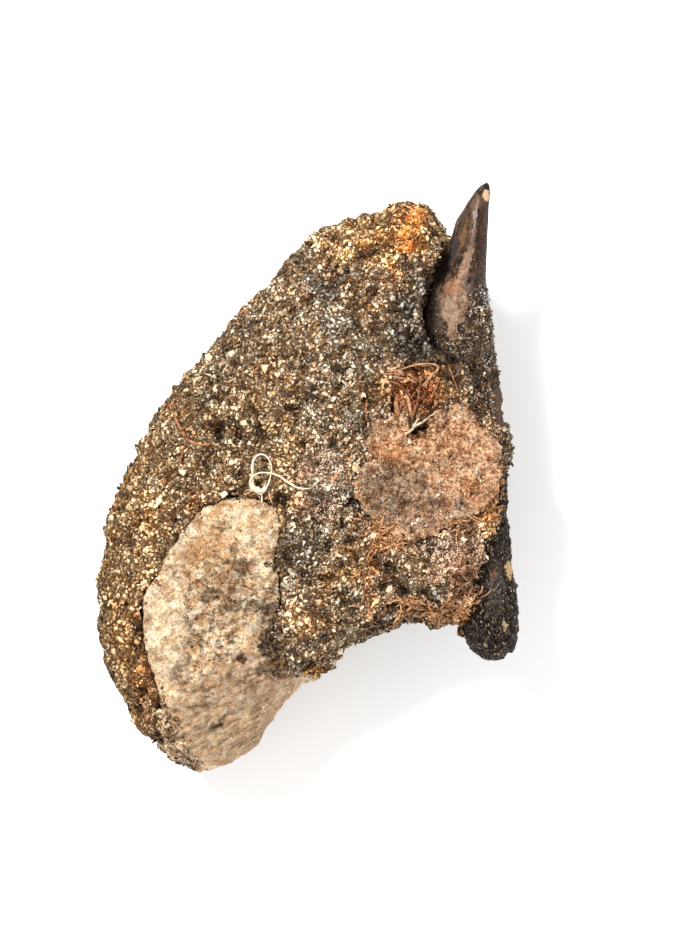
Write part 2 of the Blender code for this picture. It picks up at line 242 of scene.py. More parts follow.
def close_gap(piece, tree, reach):
    """Draws a piece's points that lie near another surface onto it, so that no trench shows."""
    places = points_of(piece.data)
    for i, place in enumerate(places):
        near, _, _, away = tree.find_nearest(Vector(place), reach)
        if near is not None:
            places[i] += (np.array(near) - place) * (1 - (away / reach) ** 3)
    piece.data.vertices.foreach_set("co", (places * MM).astype(np.float32).ravel())
    piece.data.update()


def surface_tree(piece):
    """A search tree over a piece's surface, in millimetres."""
    mesh = piece.data
    return BVHTree.FromPolygons(points_of(mesh).tolist(), triangles_of(mesh).tolist())


def under_pixel(px, py):
    """The place and the normal of the surface that the photograph shows at a pixel."""
    sight = (plan(px, py) - CAMERA_PLACE).normalized()
    hits = [tree.ray_cast(CAMERA_PLACE, sight) for tree in TREES.values()]
    hits = [hit for hit in hits if hit[0] is not None]
    if not hits:
        return None, None
    return min(hits, key=lambda hit: hit[3])[:2]


# ---------------------------------------------------------------- stains and painted shade on the sand

# Tints, each of which multiplies a colour.
GOLD = (1.12, 0.94, 0.66)
OCHRE = (1.04, 0.86, 0.56)
RUST = (1.12, 0.78, 0.50)
ORANGE = (1.26, 0.76, 0.30)
GREY = (0.88, 0.91, 0.96)
CHARCOAL = (0.42, 0.46, 0.53)
# Partly dark sand, partly painted shade.
COAL_AND_SHADE = (0.28, 0.30, 0.34)
SHADE = (0.16, 0.13, 0.11)
CHALKY = (1.26, 1.44, 1.66)
DUSKY = (0.84, 0.84, 0.82)
SOIL = (0.36, 0.32, 0.26)
PINK = (1.20, 0.98, 0.86)
PALE = (1.42, 1.34, 1.24)
CLAYEY = (1.02, 0.94, 0.90)
RED = (1.34, 0.86, 0.64)
PEACHY = (1.30, 1.00, 0.80)
SLATE = (0.50, 0.57, 0.63)
OLIVE = (0.86, 0.86, 0.70)
AMBER = (1.0, 0.80, 0.60)
PEACH = (1.10, 1.00, 0.90)
UMBER = (0.50, 0.42, 0.36)
SEPIA = (0.36, 0.30, 0.26)
STEEL = (0.68, 0.65, 0.62)
LIME = (1.12, 1.08, 1.05)
CREAM = (1.12, 1.09, 1.06)
TAN = (0.88, 0.76, 0.60)
COOL = (0.82, 0.88, 0.90)
BRIGHT = (1.24, 1.20, 1.16)
MAROON = (0.56, 0.38, 0.30)
MOSSY = (0.62, 0.64, 0.58)
HONEY = (0.82, 0.70, 0.50)
DULL = (0.74, 0.72, 0.66)
COCOA = (0.64, 0.56, 0.50)
# Painted shade in a pit.
PIT_SHADE = (0.34, 0.24, 0.19)
WHITISH = (1.30, 1.26, 1.20)
CRACK = (0.42, 0.34, 0.30)
PLUM = (0.40, 0.28, 0.26)
BARK = (0.52, 0.42, 0.36)
GINGER = (0.80, 0.62, 0.46)
FAWN = (0.66, 0.58, 0.50)
SIENNA = (0.72, 0.50, 0.34)
COPPER = (0.74, 0.54, 0.38)

# The stains of each tint, some of them painted shade: pixel, half widths in pixels, turn in degrees, and
# share.
SAND_STAINS = {
    GOLD: [
        (390, 225, 80, 40, 20, 0.8), (205, 470, 110, 90, 40, 0.4), (330, 600, 30, 50, -20, 0.4),
        (442, 392, 8, 18, 0, 0.7), (375, 385, 9, 20, 0, 0.5),
    ],
    OCHRE: [(118, 600, 50, 150, 8, 0.6), (494, 505, 14, 40, 0, 0.9)],
    RUST: [
        (135, 655, 22, 70, 8, 0.5), (378, 240, 12, 8, 20, 0.6), (297, 505, 9, 12, 20, 0.5),
        (340, 504, 6, 14, 10, 0.7), (372, 590, 7, 42, 0, 0.8), (390, 535, 14, 26, -10, 0.9),
        (440, 612, 40, 12, -5, 0.9), (197, 497, 6, 5, 0, 0.7),
    ],
    GREY: [(345, 335, 60, 60, 0, 0.8), (345, 420, 18, 50, 0, 0.6), (300, 580, 24, 40, -10, 0.6)],
    ORANGE: [
        (408, 236, 18, 26, 5, 0.6), (392, 272, 7, 6, 0, 0.5), (315, 672, 12, 6, 0, 1.0),
        (150, 525, 12, 8, 10, 0.25),
    ],
    PALE: [
        (300, 245, 26, 8, 40, 0.6), (342, 249, 26, 13, 5, 1.0), (346, 251, 15, 11, 0, 0.6),
        (355, 236, 34, 9, 10, 0.6), (372, 292, 22, 14, 0, 0.6), (378, 303, 14, 9, 0, 0.6),
        (291, 397, 14, 9, 0, 0.6), (292, 632, 9, 15, 0, 0.7), (372, 256, 30, 8, -40, 0.7),
        (298, 300, 8, 6, 0, 0.8), (360, 312, 10, 7, 0, 0.8), (318, 268, 8, 14, 20, 0.5),
        (285, 368, 38, 20, 20, 0.8), (340, 384, 20, 18, 0, 0.5), (316, 496, 16, 14, 0, 0.5),
        (290, 646, 6, 22, -35, 0.8), (293, 620, 10, 20, 0, 0.9), (305, 622, 14, 12, 0, 0.4),
        (182, 741, 7, 4, -20, 0.9), (281, 520, 3.5, 14, 15, 1.0), (255, 500, 26, 10, 10, 0.4),
    ],
    CHALKY: [(345, 250, 16, 12, 0, 0.9), (291, 622, 9, 18, 0, 0.9)],
    DUSKY: [(236, 316, 90, 9, -50, 0.9)],
    COOL: [(410, 216, 18, 8, 0, 0.8)],
    CHARCOAL: [
        (322, 292, 18, 13, -20, 0.95), (352, 280, 15, 9, 10, 0.5), (418, 296, 9, 26, -15, 0.8),
        (402, 328, 16, 20, -20, 0.6), (408, 306, 10, 34, -15, 0.5), (484, 380, 16, 40, 12, 0.6),
        (262, 624, 12, 22, -10, 0.8), (275, 612, 8, 16, 0, 0.6), (292, 556, 16, 26, 10, 0.5),
        (318, 545, 14, 10, 0, 0.5), (355, 586, 26, 9, 0, 0.8), (334, 328, 12, 12, 0, 0.5),
        (362, 539, 10, 10, 0, 0.7), (400, 580, 10, 16, 0, 0.5), (505, 452, 8, 14, 0, 0.5),
        (460, 370, 30, 16, 0, 0.5), (207, 398, 10, 6, 0, 0.5), (183, 392, 10, 8, 0, 0.4),
        (172, 480, 8, 4, 0, 0.6), (185, 500, 8, 7, 0, 0.5), (176, 522, 7, 6, 0, 0.7),
        (130, 700, 12, 14, -20, 0.5),
    ],
    # Partly dark sand, partly painted shade: in holes, in the crevice by the crown's foot, under the stone's
    # lower edge and under the fibre mats.
    COAL_AND_SHADE: [
        (412, 344, 26, 20, -10, 0.8), (440, 357, 50, 9, 0, 0.85), (279, 501, 8, 6, 0, 0.9),
        (274, 654, 14, 22, -30, 0.85), (270, 673, 30, 9, 15, 0.95), (352, 500, 9, 12, 0, 0.8),
        (366, 512, 12, 9, 20, 0.7), (377, 516, 8, 7, 0, 0.8), (353, 600, 16, 13, 0, 0.6),
        (428, 598, 12, 8, 0, 0.6), (382, 625, 22, 8, 10, 0.7), (408, 623, 28, 7, -10, 0.9),
        (428, 607, 34, 8, 0, 0.6), (434, 588, 24, 9, 0, 0.6), (425, 545, 12, 8, 0, 0.6),
        (503, 436, 14, 24, 0, 0.7),
    ],
    CLAYEY: [(322, 485, 27, 38, 0, 0.9)],
    PINK: [(457, 563, 26, 30, 20, 0.9), (432, 476, 84, 78, 0, 0.45)],
    RED: [(412, 388, 34, 26, 0, 0.9), (397, 405, 5, 12, 0, 1.0)],
    BRIGHT: [(412, 392, 30, 24, 0, 0.9)],
    MAROON: [(411, 390, 9, 9, 0, 0.5)],
    PEACHY: [(430, 400, 12, 18, 0, 0.7)],
    MOSSY: [(387, 384, 9, 10, 0, 0.9)],
    HONEY: [(205, 415, 10, 9, 0, 0.8)],
    DULL: [(107, 600, 9, 48, 0, 0.9)],
    SOIL: [(160, 742, 30, 9, 48, 0.6), (182, 752, 12, 10, 40, 0.95), (164, 732, 26, 14, 48, 0.75)],
    # Painted shade: near-black in the pits and hollows and under the stone's lower edge.
    SHADE: [
        (222, 430, 8, 8, 0, 0.9), (236, 434, 6, 5, 0, 0.7), (377, 640, 13, 7, 30, 0.9),
        (420, 432, 9, 8, 0, 0.7), (404, 592, 6, 10, 0, 0.8), (372, 563, 5, 9, 0, 0.8),
    ],
}
CRUST_STAINS = {
    PEACH: [(448, 434, 30, 22, 0, 0.8), (480, 470, 14, 30, 0, 0.4)],
    SLATE: [
        (396, 480, 16, 26, 20, 0.7), (372, 484, 12, 22, 10, 0.8), (380, 510, 18, 12, 0, 0.6),
        (404, 506, 16, 12, 0, 0.7), (420, 482, 5, 16, 0, 0.8), (434, 504, 12, 10, 0, 0.9),
        (462, 505, 6, 8, 20, 0.9), (414, 524, 16, 8, 0, 0.6), (452, 516, 30, 8, 0, 0.5),
    ],
    OLIVE: [(368, 500, 8, 10, 0, 0.8)],
    AMBER: [(392, 452, 16, 12, 0, 0.9), (399, 462, 12, 10, 0, 0.7), (470, 488, 8, 10, 0, 0.8)],
    COCOA: [(384, 424, 14, 11, 0, 0.9)],
    # Painted shade in the notch of the crust.
    PIT_SHADE: [(415, 436, 8, 5, 0, 0.95)],
    WHITISH: [(416, 449, 12, 3, 0, 0.9)],
    CRACK: [(468, 466, 7, 2, -30, 0.9)],
    PLUM: [(479, 423, 10, 4, -35, 0.9)],
    BARK: [(444, 418, 8, 2, -40, 0.8)],
}
CLAST_STAINS = {
    CREAM: [
        (243, 543, 14, 20, 20, 1.0), (166, 618, 18, 46, 8, 0.9), (262, 520, 10, 16, 0, 0.7),
        (267, 577, 8, 8, 0, 0.9), (205, 660, 26, 26, 10, 0.5),
    ],
    LIME: [
        (212, 516, 20, 5, 40, 1.0), (232, 504, 12, 6, 10, 0.8), (164, 684, 8, 14, 30, 0.8),
        (205, 762, 22, 8, 5, 0.7),
    ],
    TAN: [(206, 552, 24, 18, 30, 0.9), (174, 640, 9, 5, 0, 0.8)],
    GINGER: [(248, 503, 8, 5, 0, 0.8)],
    SEPIA: [
        (221, 529, 9, 2.2, 15, 1.0), (234, 550, 6, 6, 0, 0.8), (253, 544, 3, 3.5, 0, 0.9),
        (210, 595, 11, 6, 0, 0.9), (205, 610, 6, 4, 0, 0.8), (218, 611, 7, 4, 10, 0.8),
        (236, 607, 7, 5, 0, 0.7), (197, 618, 7, 3, 0, 0.7), (181, 683, 6, 3, 0, 0.6),
        (200, 706, 16, 2.5, 0, 0.7), (276, 585, 4, 5, 0, 0.9), (264, 604, 2.5, 15, -46, 0.9),
        (270, 643, 14, 14, -30, 0.9), (274, 666, 20, 10, 20, 0.9), (284, 672, 12, 8, 0, 0.9),
        (252, 676, 16, 2.5, 22, 0.9), (231, 674, 2, 7, -15, 0.7), (216, 726, 7, 4, 30, 0.8),
        (224, 716, 3, 11, -38, 0.8),
    ],
    UMBER: [
        (242, 567, 16, 8, 10, 0.9), (232, 587, 5, 8, 0, 0.9), (252, 606, 8, 7, 0, 0.9),
        (170, 597, 3, 4, 0, 0.8), (190, 626, 4, 5, 0, 0.9), (150, 621, 4, 2.5, 0, 0.8),
        (193, 644, 8, 5, 0, 0.8), (188, 654, 10, 6, 0, 0.6), (179, 676, 9, 4, 15, 0.7),
        (200, 690, 7, 4, 0, 0.7), (268, 618, 10, 16, -20, 0.9), (256, 636, 8, 12, 0, 0.6),
        (252, 689, 10, 5, 25, 0.9),
    ],
    FAWN: [(226, 586, 24, 24, 10, 0.8)],
    SIENNA: [(183, 585, 5, 4, 0, 0.9)],
    COPPER: [(200, 581, 4, 3, 0, 0.9)],
    STEEL: [(256, 738, 5, 26, -38, 0.8)],
}
STAIN_FOOT = 9.0
STAIN_FADE = 5.0
STAIN_EDGE = ((2.4, 1.1), (0.8, 0.6))
FINE_EDGE = ((1.4, 0.45), (0.6, 0.45))
# A stain starts at this many of its half widths and is full this much further in.
STAIN_RIM = 1.2
STAIN_RIM_WIDTH = 0.45
# This share of the grains in a weak stain keeps clean, and takes only so much of the tint.
CLEAN_GRAINS = 0.22
CLEAN_TAKES = 0.25


def strayed(places, octaves, apart):
    """The pixels of places that are pushed about by noise, which makes an outline on them ragged."""
    return pixels_of(places + np.stack([clouds(places, *octaves, apart=apart * k) for k in (1, 2, 3)], 1))


def stain_tints(places, random, stains, edge=STAIN_EDGE):
    """The tint of each place. A stain has a ragged edge, and some grains in it keep clean."""
    px, py = strayed(places, edge, 9.0)
    up = np.clip((places[:, 2] - STAIN_FOOT) / STAIN_FADE, 0, 1)
    tints = np.ones((len(places), 3))
    rows = [(tint, *spot) for tint, spots in stains.items() for spot in spots]
    for tint, x, y, half_x, half_y, turn, share in rows:
        angle = math.radians(turn)
        right, above = px - x, y - py
        across = (right * math.cos(angle) + above * math.sin(angle)) / half_x
        along = (above * math.cos(angle) - right * math.sin(angle)) / half_y
        here = np.clip((STAIN_RIM - np.hypot(across, along)) / STAIN_RIM_WIDTH, 0, 1) * share * up
        here = here * np.where(random < CLEAN_GRAINS * (1 - share * 0.5), CLEAN_TAKES, 1.0)
        tints *= 1 + here[:, None] * (np.array(tint) - 1)
    return tints


# ---------------------------------------------------------------- materials

def srgb(red, green, blue):
    """A colour given as a screen shows it, 0 to 255, in Blender's linear values."""
    return tuple((value / 255) ** 2.2 for value in (red, green, blue)) + (1.0,)


class Paint:
    """One material under construction: methods return a new node's output, or change the colour so far."""

    def __init__(self, name, height=VIEW_PLANE):
        self.material = bpy.data.materials.new(name)
        self.material.use_nodes = True
        self.tree = self.material.node_tree
        self.surface = self.tree.nodes["Principled BSDF"]
        self.place = self.node("ShaderNodeTexCoord").outputs["Object"]
        self.ragged = self.place
        self.height = height
        self.limits = ()
        self.colour = None

    def fill(self, socket, value):
        """Links a node's output to an input, or sets the input to a number or a colour."""
        if isinstance(value, bpy.types.NodeSocket):
            self.tree.links.new(value, socket)
        else:
            socket.default_value = value

    def node(self, kind, inputs=(), **settings):
        """A new node with these inputs and settings."""
        made = self.tree.nodes.new(kind)
        for key, value in settings.items():
            setattr(made, key, value)
        for key, value in dict(inputs).items():
            self.fill(made.inputs[key], value)
        return made

    def set(self, **inputs):
        """Fills the surface's own inputs; an underscore stands for a space."""
        for key, value in inputs.items():
            self.fill(self.surface.inputs[key.replace("_", " ")], value)

    def done(self, gloss, roughness, relief):
        """The material, with the colour so far and with this gloss, roughness and relief."""
        self.set(Base_Color=self.colour, Specular_IOR_Level=gloss, Roughness=roughness, Normal=relief)
        return self.material

    def attribute(self, name, output="Fac"):
        """A value that the mesh stores for each face or point."""
        return self.node("ShaderNodeAttribute", attribute_name=name).outputs[output]

    def vector(self, operation, a, b=(0, 0, 0), scale=None):
        """Vector arithmetic."""
        inputs = {0: a, 1: b} if scale is None else {0: a, "Scale": scale}
        made = self.node("ShaderNodeVectorMath", inputs, operation=operation)
        return made.outputs["Value" if operation == "LENGTH" else "Vector"]

    def turned(self, vector, turn):
        """A vector turned clockwise about Z by degrees."""
        inputs = {"Vector": vector, "Angle": -math.radians(turn)}
        return self.node("ShaderNodeVectorRotate", inputs, rotation_type="Z_AXIS").outputs[0]

    def stretched(self, x, y, z, turn=0.0):
        """The place turned clockwise about Z by degrees, and then each axis scaled."""
        return self.vector("MULTIPLY", self.turned(self.place, turn), (x, y, z))

    def noise(self, size, detail=3.0, rough=0.55, place=None, output="Fac"):
        """Smooth noise from 0 to 1 with features of about this size."""
        inputs = {"Vector": place or self.place, "Scale": 1 / (size * MM)}
        inputs.update(Detail=detail, Roughness=rough)
        return self.node("ShaderNodeTexNoise", inputs).outputs[output]

    def cells(self, size, output="Color", feature="F1"):
        """Random cells of about this size."""
        inputs = {"Vector": self.place, "Scale": 1 / (size * MM)}
        return self.node("ShaderNodeTexVoronoi", inputs, feature=feature).outputs[output]

    def math(self, operation, a, b=0.0, clamp=False):
        """Arithmetic with two numbers."""
        return self.node("ShaderNodeMath", {0: a, 1: b}, operation=operation, use_clamp=clamp).outputs[0]

    def joined(self, operation, values):
        """All these values joined by one operation."""
        total = values[0]
        for value in values[1:]:
            total = self.math(operation, total, value)
        return total

    def product(self, *values):
        """All these values multiplied."""
        return self.joined("MULTIPLY", values)

    def either(self, *values):
        """The greatest of these values."""
        return self.joined("MAXIMUM", values)

    def band(self, value, low, high, least=0.0, most=1.0):
        """Turns low into least and high into most, and eases between them. Low may be above high."""
        inputs = {"Value": value, "From Min": low, "From Max": high, "To Min": least, "To Max": most}
        return self.node("ShaderNodeMapRange", inputs, interpolation_type="SMOOTHSTEP").outputs["Result"]

    def line(self, value, level, half):
        """1 where the value is at a level, falling to 0 half away from it: a contour line."""
        return self.product(self.band(value, level - half, level), self.band(value, level + half, level))

    def torn(self, mask, size, depth, half):
        """A soft mask cut into ragged patches, whose edges are crisper the smaller half is."""
        rough = self.math("MULTIPLY", self.math("SUBTRACT", self.noise(size, 5, 0.75), 0.5), depth)
        return self.band(self.math("ADD", mask, rough), 0.5 - half, 0.5 + half)

    def ramp(self, value, *stops):
        """A colour ramp with stops given as (position, colour on a screen)."""
        made = self.node("ShaderNodeValToRGB", {"Fac": value})
        elements = made.color_ramp.elements
        while len(elements) < len(stops):
            elements.new(0.5)
        for element, (position, colour) in zip(elements, stops):
            element.position = position
            element.color = srgb(*colour)
        return made.outputs["Color"]

    def mix(self, share, a, b, blend="MIX"):
        """Colour a turned towards colour b by a share."""
        made = self.node("ShaderNodeMix", {0: share, 6: a, 7: b}, data_type="RGBA", blend_type=blend)
        return made.outputs[2]

    def warped(self, size, shift):
        """The place pushed about by noise, which makes a patch's edge ragged."""
        push = self.vector("SUBTRACT", self.noise(size, output="Color"), (0.5, 0.5, 0.5))
        return self.vector("ADD", self.place, self.vector("SCALE", push, scale=shift * MM * 2))

    def patch(self, px, py, half_x, half_y, turn=0.0, soft=0.6):
        """1 inside an ellipse of pixels and 0 outside it; turn is anticlockwise in degrees."""
        centre = plan(px, py, self.height)
        moved = self.vector("SUBTRACT", self.ragged, (centre.x * MM, centre.y * MM, 0))
        size = PIXEL * MM
        shrink = (1 / (half_x * size), 1 / (half_y * size), 0)
        sized = self.vector("MULTIPLY", self.turned(moved, turn), shrink)
        return self.band(self.vector("LENGTH", sized), 1 + soft / 2, 1 - soft / 2)

    def bump(self, height, depth, normal=None):
        """A bump of this depth in millimetres from a height from 0 to 1."""
        inputs = {"Height": height, "Distance": depth * MM, "Strength": 1.0}
        if normal:
            inputs["Normal"] = normal
        return self.node("ShaderNodeBump", inputs).outputs["Normal"]

    def over(self, tone, share, *masks):
        """Lays a share of a tone over the colour so far, within all these masks and the paint's limits."""
        tone = tone if isinstance(tone, bpy.types.NodeSocket) else srgb(*tone)
        self.colour = self.mix(self.product(*masks, *self.limits, share), self.colour, tone)

    def marks(self, rows, *within):
        """Lays marks over the colour so far, each given as (colour, share, patch, tears)."""
        for tone, share, patch, tears in rows:
            mask = self.patch(*patch)
            self.over(tone, share, *within, self.torn(mask, *tears) if tears else mask)

    def stain(self, patchy=None):
        """Multiplies the colour by the piece's own stains, which patches of this size may break up."""
        stains = self.attribute("tint", "Color")
        if patchy:
            broken = self.band(self.noise(patchy, 5, 0.75), 0.42, 0.50, 0.45, 1.0)
            stains = self.mix(broken, (1, 1, 1, 1), stains)
        self.colour = self.mix(1.0, self.colour, stains, "MULTIPLY")

    def harden(self, contrast, middle):
        """Gives the colour more contrast about a middle brightness, and keeps its hue."""
        brightness = self.node("ShaderNodeRGBToBW", {"Color": self.colour}).outputs[0]
        gain = self.math("POWER", self.math("DIVIDE", brightness, middle), contrast)
        self.colour = self.vector("SCALE", self.colour, scale=gain)


# Colour ramps of the grains: position and colour on a screen.
GREY_GRAINS = (
    (0.00, (35, 28, 23)), (0.14, (70, 56, 45)), (0.30, (115, 95, 77)), (0.47, (158, 134, 109)),
    (0.64, (193, 169, 140)), (0.80, (226, 206, 178)), (0.93, (249, 236, 214)), (1.00, (255, 249, 236)),
)
WARM_GRAINS = (
    (0.00, (48, 31, 18)), (0.14, (95, 63, 36)), (0.30, (144, 99, 56)), (0.47, (188, 134, 83)),
    (0.64, (216, 167, 117)), (0.80, (240, 204, 161)), (0.93, (253, 234, 207)), (1.00, (255, 246, 226)),
)
CLAY_GREY = (
    (0.00, (60, 50, 42)), (0.25, (118, 98, 82)), (0.50, (164, 136, 112)), (0.75, (204, 178, 152)),
    (1.00, (248, 236, 218)),
)
CLAY_WARM = (
    (0.00, (76, 48, 34)), (0.25, (140, 92, 62)), (0.50, (190, 138, 102)), (0.75, (220, 174, 136)),
    (1.00, (250, 226, 198)),
)
CHALK_GREY = (
    (0.00, (84, 68, 52)), (0.25, (150, 124, 96)), (0.50, (204, 174, 140)), (0.75, (232, 208, 176)),
    (1.00, (252, 242, 222)),
)

# Marks in the order they lie: colour, share and patch, and how it is torn, if it is: size, depth, softness.
CLAST_MARKS = [
    ((112, 64, 44), 0.8, (241, 660, 4.5, 8, 15, 0.7), ()),
    ((255, 242, 226), 0.6, (246, 662, 2, 7, 10, 0.9), ()),
    ((40, 30, 24), 0.95, (268, 563, 2.5, 3, 0, 0.6), ()),
]
ENAMEL_MARKS = [
    ((108, 82, 62), 0.3, (462, 236, 5, 34, -20, 1.0), (0.7, 2.6, 0.25)),
    ((150, 108, 74), 0.5, (464, 234, 1.8, 15, -14, 1.0), (0.4, 2.6, 0.2)),
    ((52, 54, 60), 0.7, (453, 249, 3.5, 12, -18, 0.9), ()),
    # Partly slate-grey colour, partly painted reflection on the crown's left foot, in this mark and the next.
    ((98, 90, 84), 0.7, (433, 322, 8, 28, -10, 0.9), ()),
    ((124, 126, 130), 0.6, (432, 326, 4, 10, -8, 0.9), ()),
    ((42, 34, 30), 0.85, (455, 341, 28, 12, 0, 0.9), ()),
]
CLAY_MARKS = [
    ((184, 122, 84), 0.65, (452, 286, 11, 9, 10, 1.2), (0.7, 2.6, 0.3)),
    ((190, 146, 122), 0.6, (464, 268, 5, 14, -16, 1.2), (0.7, 2.6, 0.3)),
    ((198, 164, 138), 0.5, (450, 316, 8, 16, -6, 1.2), (0.7, 2.6, 0.3)),
    ((66, 62, 66), 0.75, (466, 283, 5, 8, 0, 1.2), (0.6, 2.6, 0.2)),
]
CROWN_MARKS = [
    ((24, 19, 17), 0.9, (447, 262, 2, 18, -16, 0.6), ()),
    # Painted highlight along the crown's ridge, in this mark and the next.
    ((172, 152, 146), 0.75, (475.5, 216, 1.8, 20, -9, 1.0), (0.5, 1.6, 0.2)),
    ((130, 104, 94), 0.5, (471, 248, 2.6, 18, -12, 1.0), (0.6, 1.6, 0.25)),
    ((130, 98, 76), 0.45, (477, 203, 5, 9, -20, 1.0), (0.6, 1.6, 0.25)),
    ((228, 192, 152), 0.95, (485.5, 194.5, 2.6, 6.5, 10, 0.5), ()),
    ((36, 28, 26), 0.9, (487, 185, 5, 4, 0, 0.6), ()),
    ((104, 78, 60), 0.8, (500, 408, 8, 20, 8, 0.7), ()),
]
ROOT_MARKS = [
    ((136, 92, 58), 0.6, (493, 574, 2.2, 6, -20, 1.0), (0.4, 2.6, 0.2)),
    ((220, 180, 128), 0.95, (510, 571, 3.4, 9, 4, 0.8), (0.5, 1.6, 0.08)),
    ((190, 170, 138), 0.8, (506, 626, 1.4, 6, 0, 0.8), (0.3, 1.6, 0.2)),
    ((170, 150, 124), 0.6, (486, 645, 2.0, 2, 0, 0.8), (0.3, 1.6, 0.2)),
]


def grain_paint(name, cold=GREY_GRAINS, warm=WARM_GRAINS):
    """Separate grains: each facet has its own tone, which holds painted light and shade, and clear grains are
    smoother than the rest.
    """
    paint = Paint(name)
    flaw = paint.band(paint.noise(0.14, 4, 0.7), 0.38, 0.62, -0.28, 0.28)
    tone = paint.math("ADD", paint.attribute("tone"), flaw, clamp=True)
    paint.colour = paint.mix(paint.attribute("warmth"), paint.ramp(tone, *cold), paint.ramp(tone, *warm))
    paint.stain()
    roughness = paint.band(paint.attribute("shine"), 0.0, 1.0, 0.4, 0.95)
    return paint.done(0.3, roughness, paint.bump(paint.noise(0.10), 0.04))


def stone_paint():
    """The sandstone between and under the separate grains: packed grains in a brown cement."""
    paint = Paint("sandstone")
    tone = paint.node("ShaderNodeSeparateColor", {0: paint.cells(0.34)}).outputs[0]
    edge = paint.cells(0.34, "Distance", "DISTANCE_TO_EDGE")
    warm = paint.band(paint.noise(3.0), 0.35, 0.65)
    packed = paint.mix(warm, paint.ramp(tone, *GREY_GRAINS), paint.ramp(tone, *WARM_GRAINS))
    dust = paint.ramp(paint.noise(0.3, 4, 0.7), (0.38, (74, 57, 41)), (0.58, (158, 128, 92)))
    paint.colour = paint.mix(0.5, packed, dust)
    paint.over((48, 35, 24), 0.8, paint.band(edge, 0.12, 0.02))
    paint.stain()
    relief = paint.bump(paint.band(edge, 0.0, 0.25), 0.12)
    relief = paint.bump(paint.noise(0.16, 4, 0.7), 0.05, relief)
    return paint.done(0.12, 0.9, relief)


def clast_paint():
    """Cream mudstone, mottled brown, chalkier at its head and laminated at its foot."""
    paint = Paint("mudstone", CLAST_HEIGHT)
    paint.ragged = paint.warped(1.3, 1.3)
    base = paint.ramp(paint.noise(1.9, 5, 0.68),
                      (0.38, (216, 172, 126)), (0.49, (250, 203, 155)), (0.58, (255, 232, 194)))
    grit = paint.ramp(paint.noise(0.38, 5, 0.74),
                      (0.34, (158, 132, 110)), (0.43, (238, 226, 212)), (0.52, (255, 254, 250)))
    paint.colour = paint.mix(0.95, base, grit, "MULTIPLY")
    mottled = paint.either(paint.patch(220, 592, 44, 44, 10, 0.9),
                           paint.patch(204, 650, 40, 56, 0, 1.0), 0.25)
    paint.over((128, 96, 70), 0.7, paint.band(paint.noise(1.25, 5, 0.72), 0.52, 0.565), mottled)
    paint.over((98, 72, 52), 0.8, paint.band(paint.noise(0.7, 4, 0.7), 0.55, 0.60), mottled)
    paint.over((255, 240, 212), 0.6, paint.band(paint.noise(1.1, 5, 0.72), 0.52, 0.58))
    paint.over((255, 234, 202), 0.4, paint.patch(163, 618, 20, 60, 8, 1.0))
    wrinkles = paint.noise(0.75, 5, 0.7)
    here_and_there = paint.band(paint.noise(1.6, 3), 0.42, 0.56)
    paint.over((116, 86, 62), 0.75, paint.line(wrinkles, 0.47, 0.014), here_and_there)
    paint.over((255, 246, 226), 0.55, paint.line(wrinkles, 0.52, 0.014))
    flecks = paint.band(paint.noise(0.32, 3, 0.6), 0.62, 0.66)
    paint.over((84, 60, 44), paint.band(mottled, 0.0, 1.0, 0.3, 0.9), flecks)
    lamina = paint.noise(0.55, 6, 0.75, paint.stretched(0.6, 2.0, 0.7, 30))
    foot = paint.patch(236, 712, 62, 48, 30, 0.8)
    paint.over((246, 200, 156), 0.45, foot)
    paint.over((146, 108, 80), 0.55, paint.band(lamina, 0.53, 0.58), foot)
    paint.over((252, 218, 184), 0.6, paint.band(lamina, 0.47, 0.42), foot)
    paint.marks(CLAST_MARKS)
    paint.stain(0.5)
    paint.harden(0.3, 0.37)
    relief = paint.bump(paint.noise(0.42, 5, 0.78), 0.40)
    relief = paint.bump(paint.noise(1.7, 5, 0.6, paint.stretched(0.8, 1.5, 0.9, 35)), 0.9, relief)
    relief = paint.bump(paint.band(wrinkles, 0.45, 0.53), 0.16, relief)
    relief = paint.bump(paint.product(lamina, foot), 0.85, relief)
    return paint.done(0.12, 0.93, relief)


def crust_paint():
    """Pinkish-brown granular clay, which its stains make greyer at its lower left."""
    paint = Paint("clay_crust", CRUST_HEIGHT)
    paint.ragged = paint.warped(1.4, 1.4)
    base = paint.ramp(paint.noise(1.2, 5, 0.70),
                      (0.39, (166, 118, 84)), (0.49, (226, 175, 136)), (0.57, (255, 214, 176)))
    grit = paint.ramp(paint.noise(0.36, 5, 0.74),
                      (0.37, (74, 58, 46)), (0.45, (212, 196, 182)), (0.54, (255, 252, 246)))
    paint.colour = paint.mix(0.95, base, grit, "MULTIPLY")
    paint.over((178, 108, 66), 0.4, paint.band(paint.noise(1.0, 4, 0.65), 0.56, 0.66))
    paint.over((196, 112, 50), 0.8, paint.patch(449, 471, 4, 5, 0, 0.6))
    paint.over((70, 50, 38), 0.8, paint.band(paint.noise(0.28, 3, 0.6), 0.62, 0.68))
    wrinkles = paint.noise(1.0, 4, 0.65)
    cracks = paint.line(wrinkles, 0.48, 0.016)
    open_cracks = paint.band(paint.noise(1.5, 3), 0.42, 0.52)
    paint.over((72, 48, 36), 0.8, cracks, open_cracks)
    paint.over((255, 226, 194), 0.55, paint.line(wrinkles, 0.53, 0.014))
    paint.stain(0.45)
    paint.harden(0.2, 0.30)
    relief = paint.bump(paint.product(cracks, open_cracks, -1), 0.2)
    relief = paint.bump(paint.noise(0.36, 5, 0.78), 0.5, relief)
    return paint.done(0.12, 0.92, relief)


def root_tone(paint):
    """A black, pitted root with pale flecks."""
    pitted = paint.ramp(paint.noise(0.45, 6, 0.8, paint.stretched(1.5, 0.6, 1.5, -6)),
                        (0.44, (3, 2, 2)), (0.52, (24, 19, 16)), (0.60, (84, 70, 58)))
    flecks = paint.band(paint.noise(0.26, 3, 0.6, paint.stretched(1.6, 0.6, 1.6, 20)), 0.61, 0.65)
    return paint.mix(paint.product(flecks, 0.9), pitted, srgb(190, 168, 138))


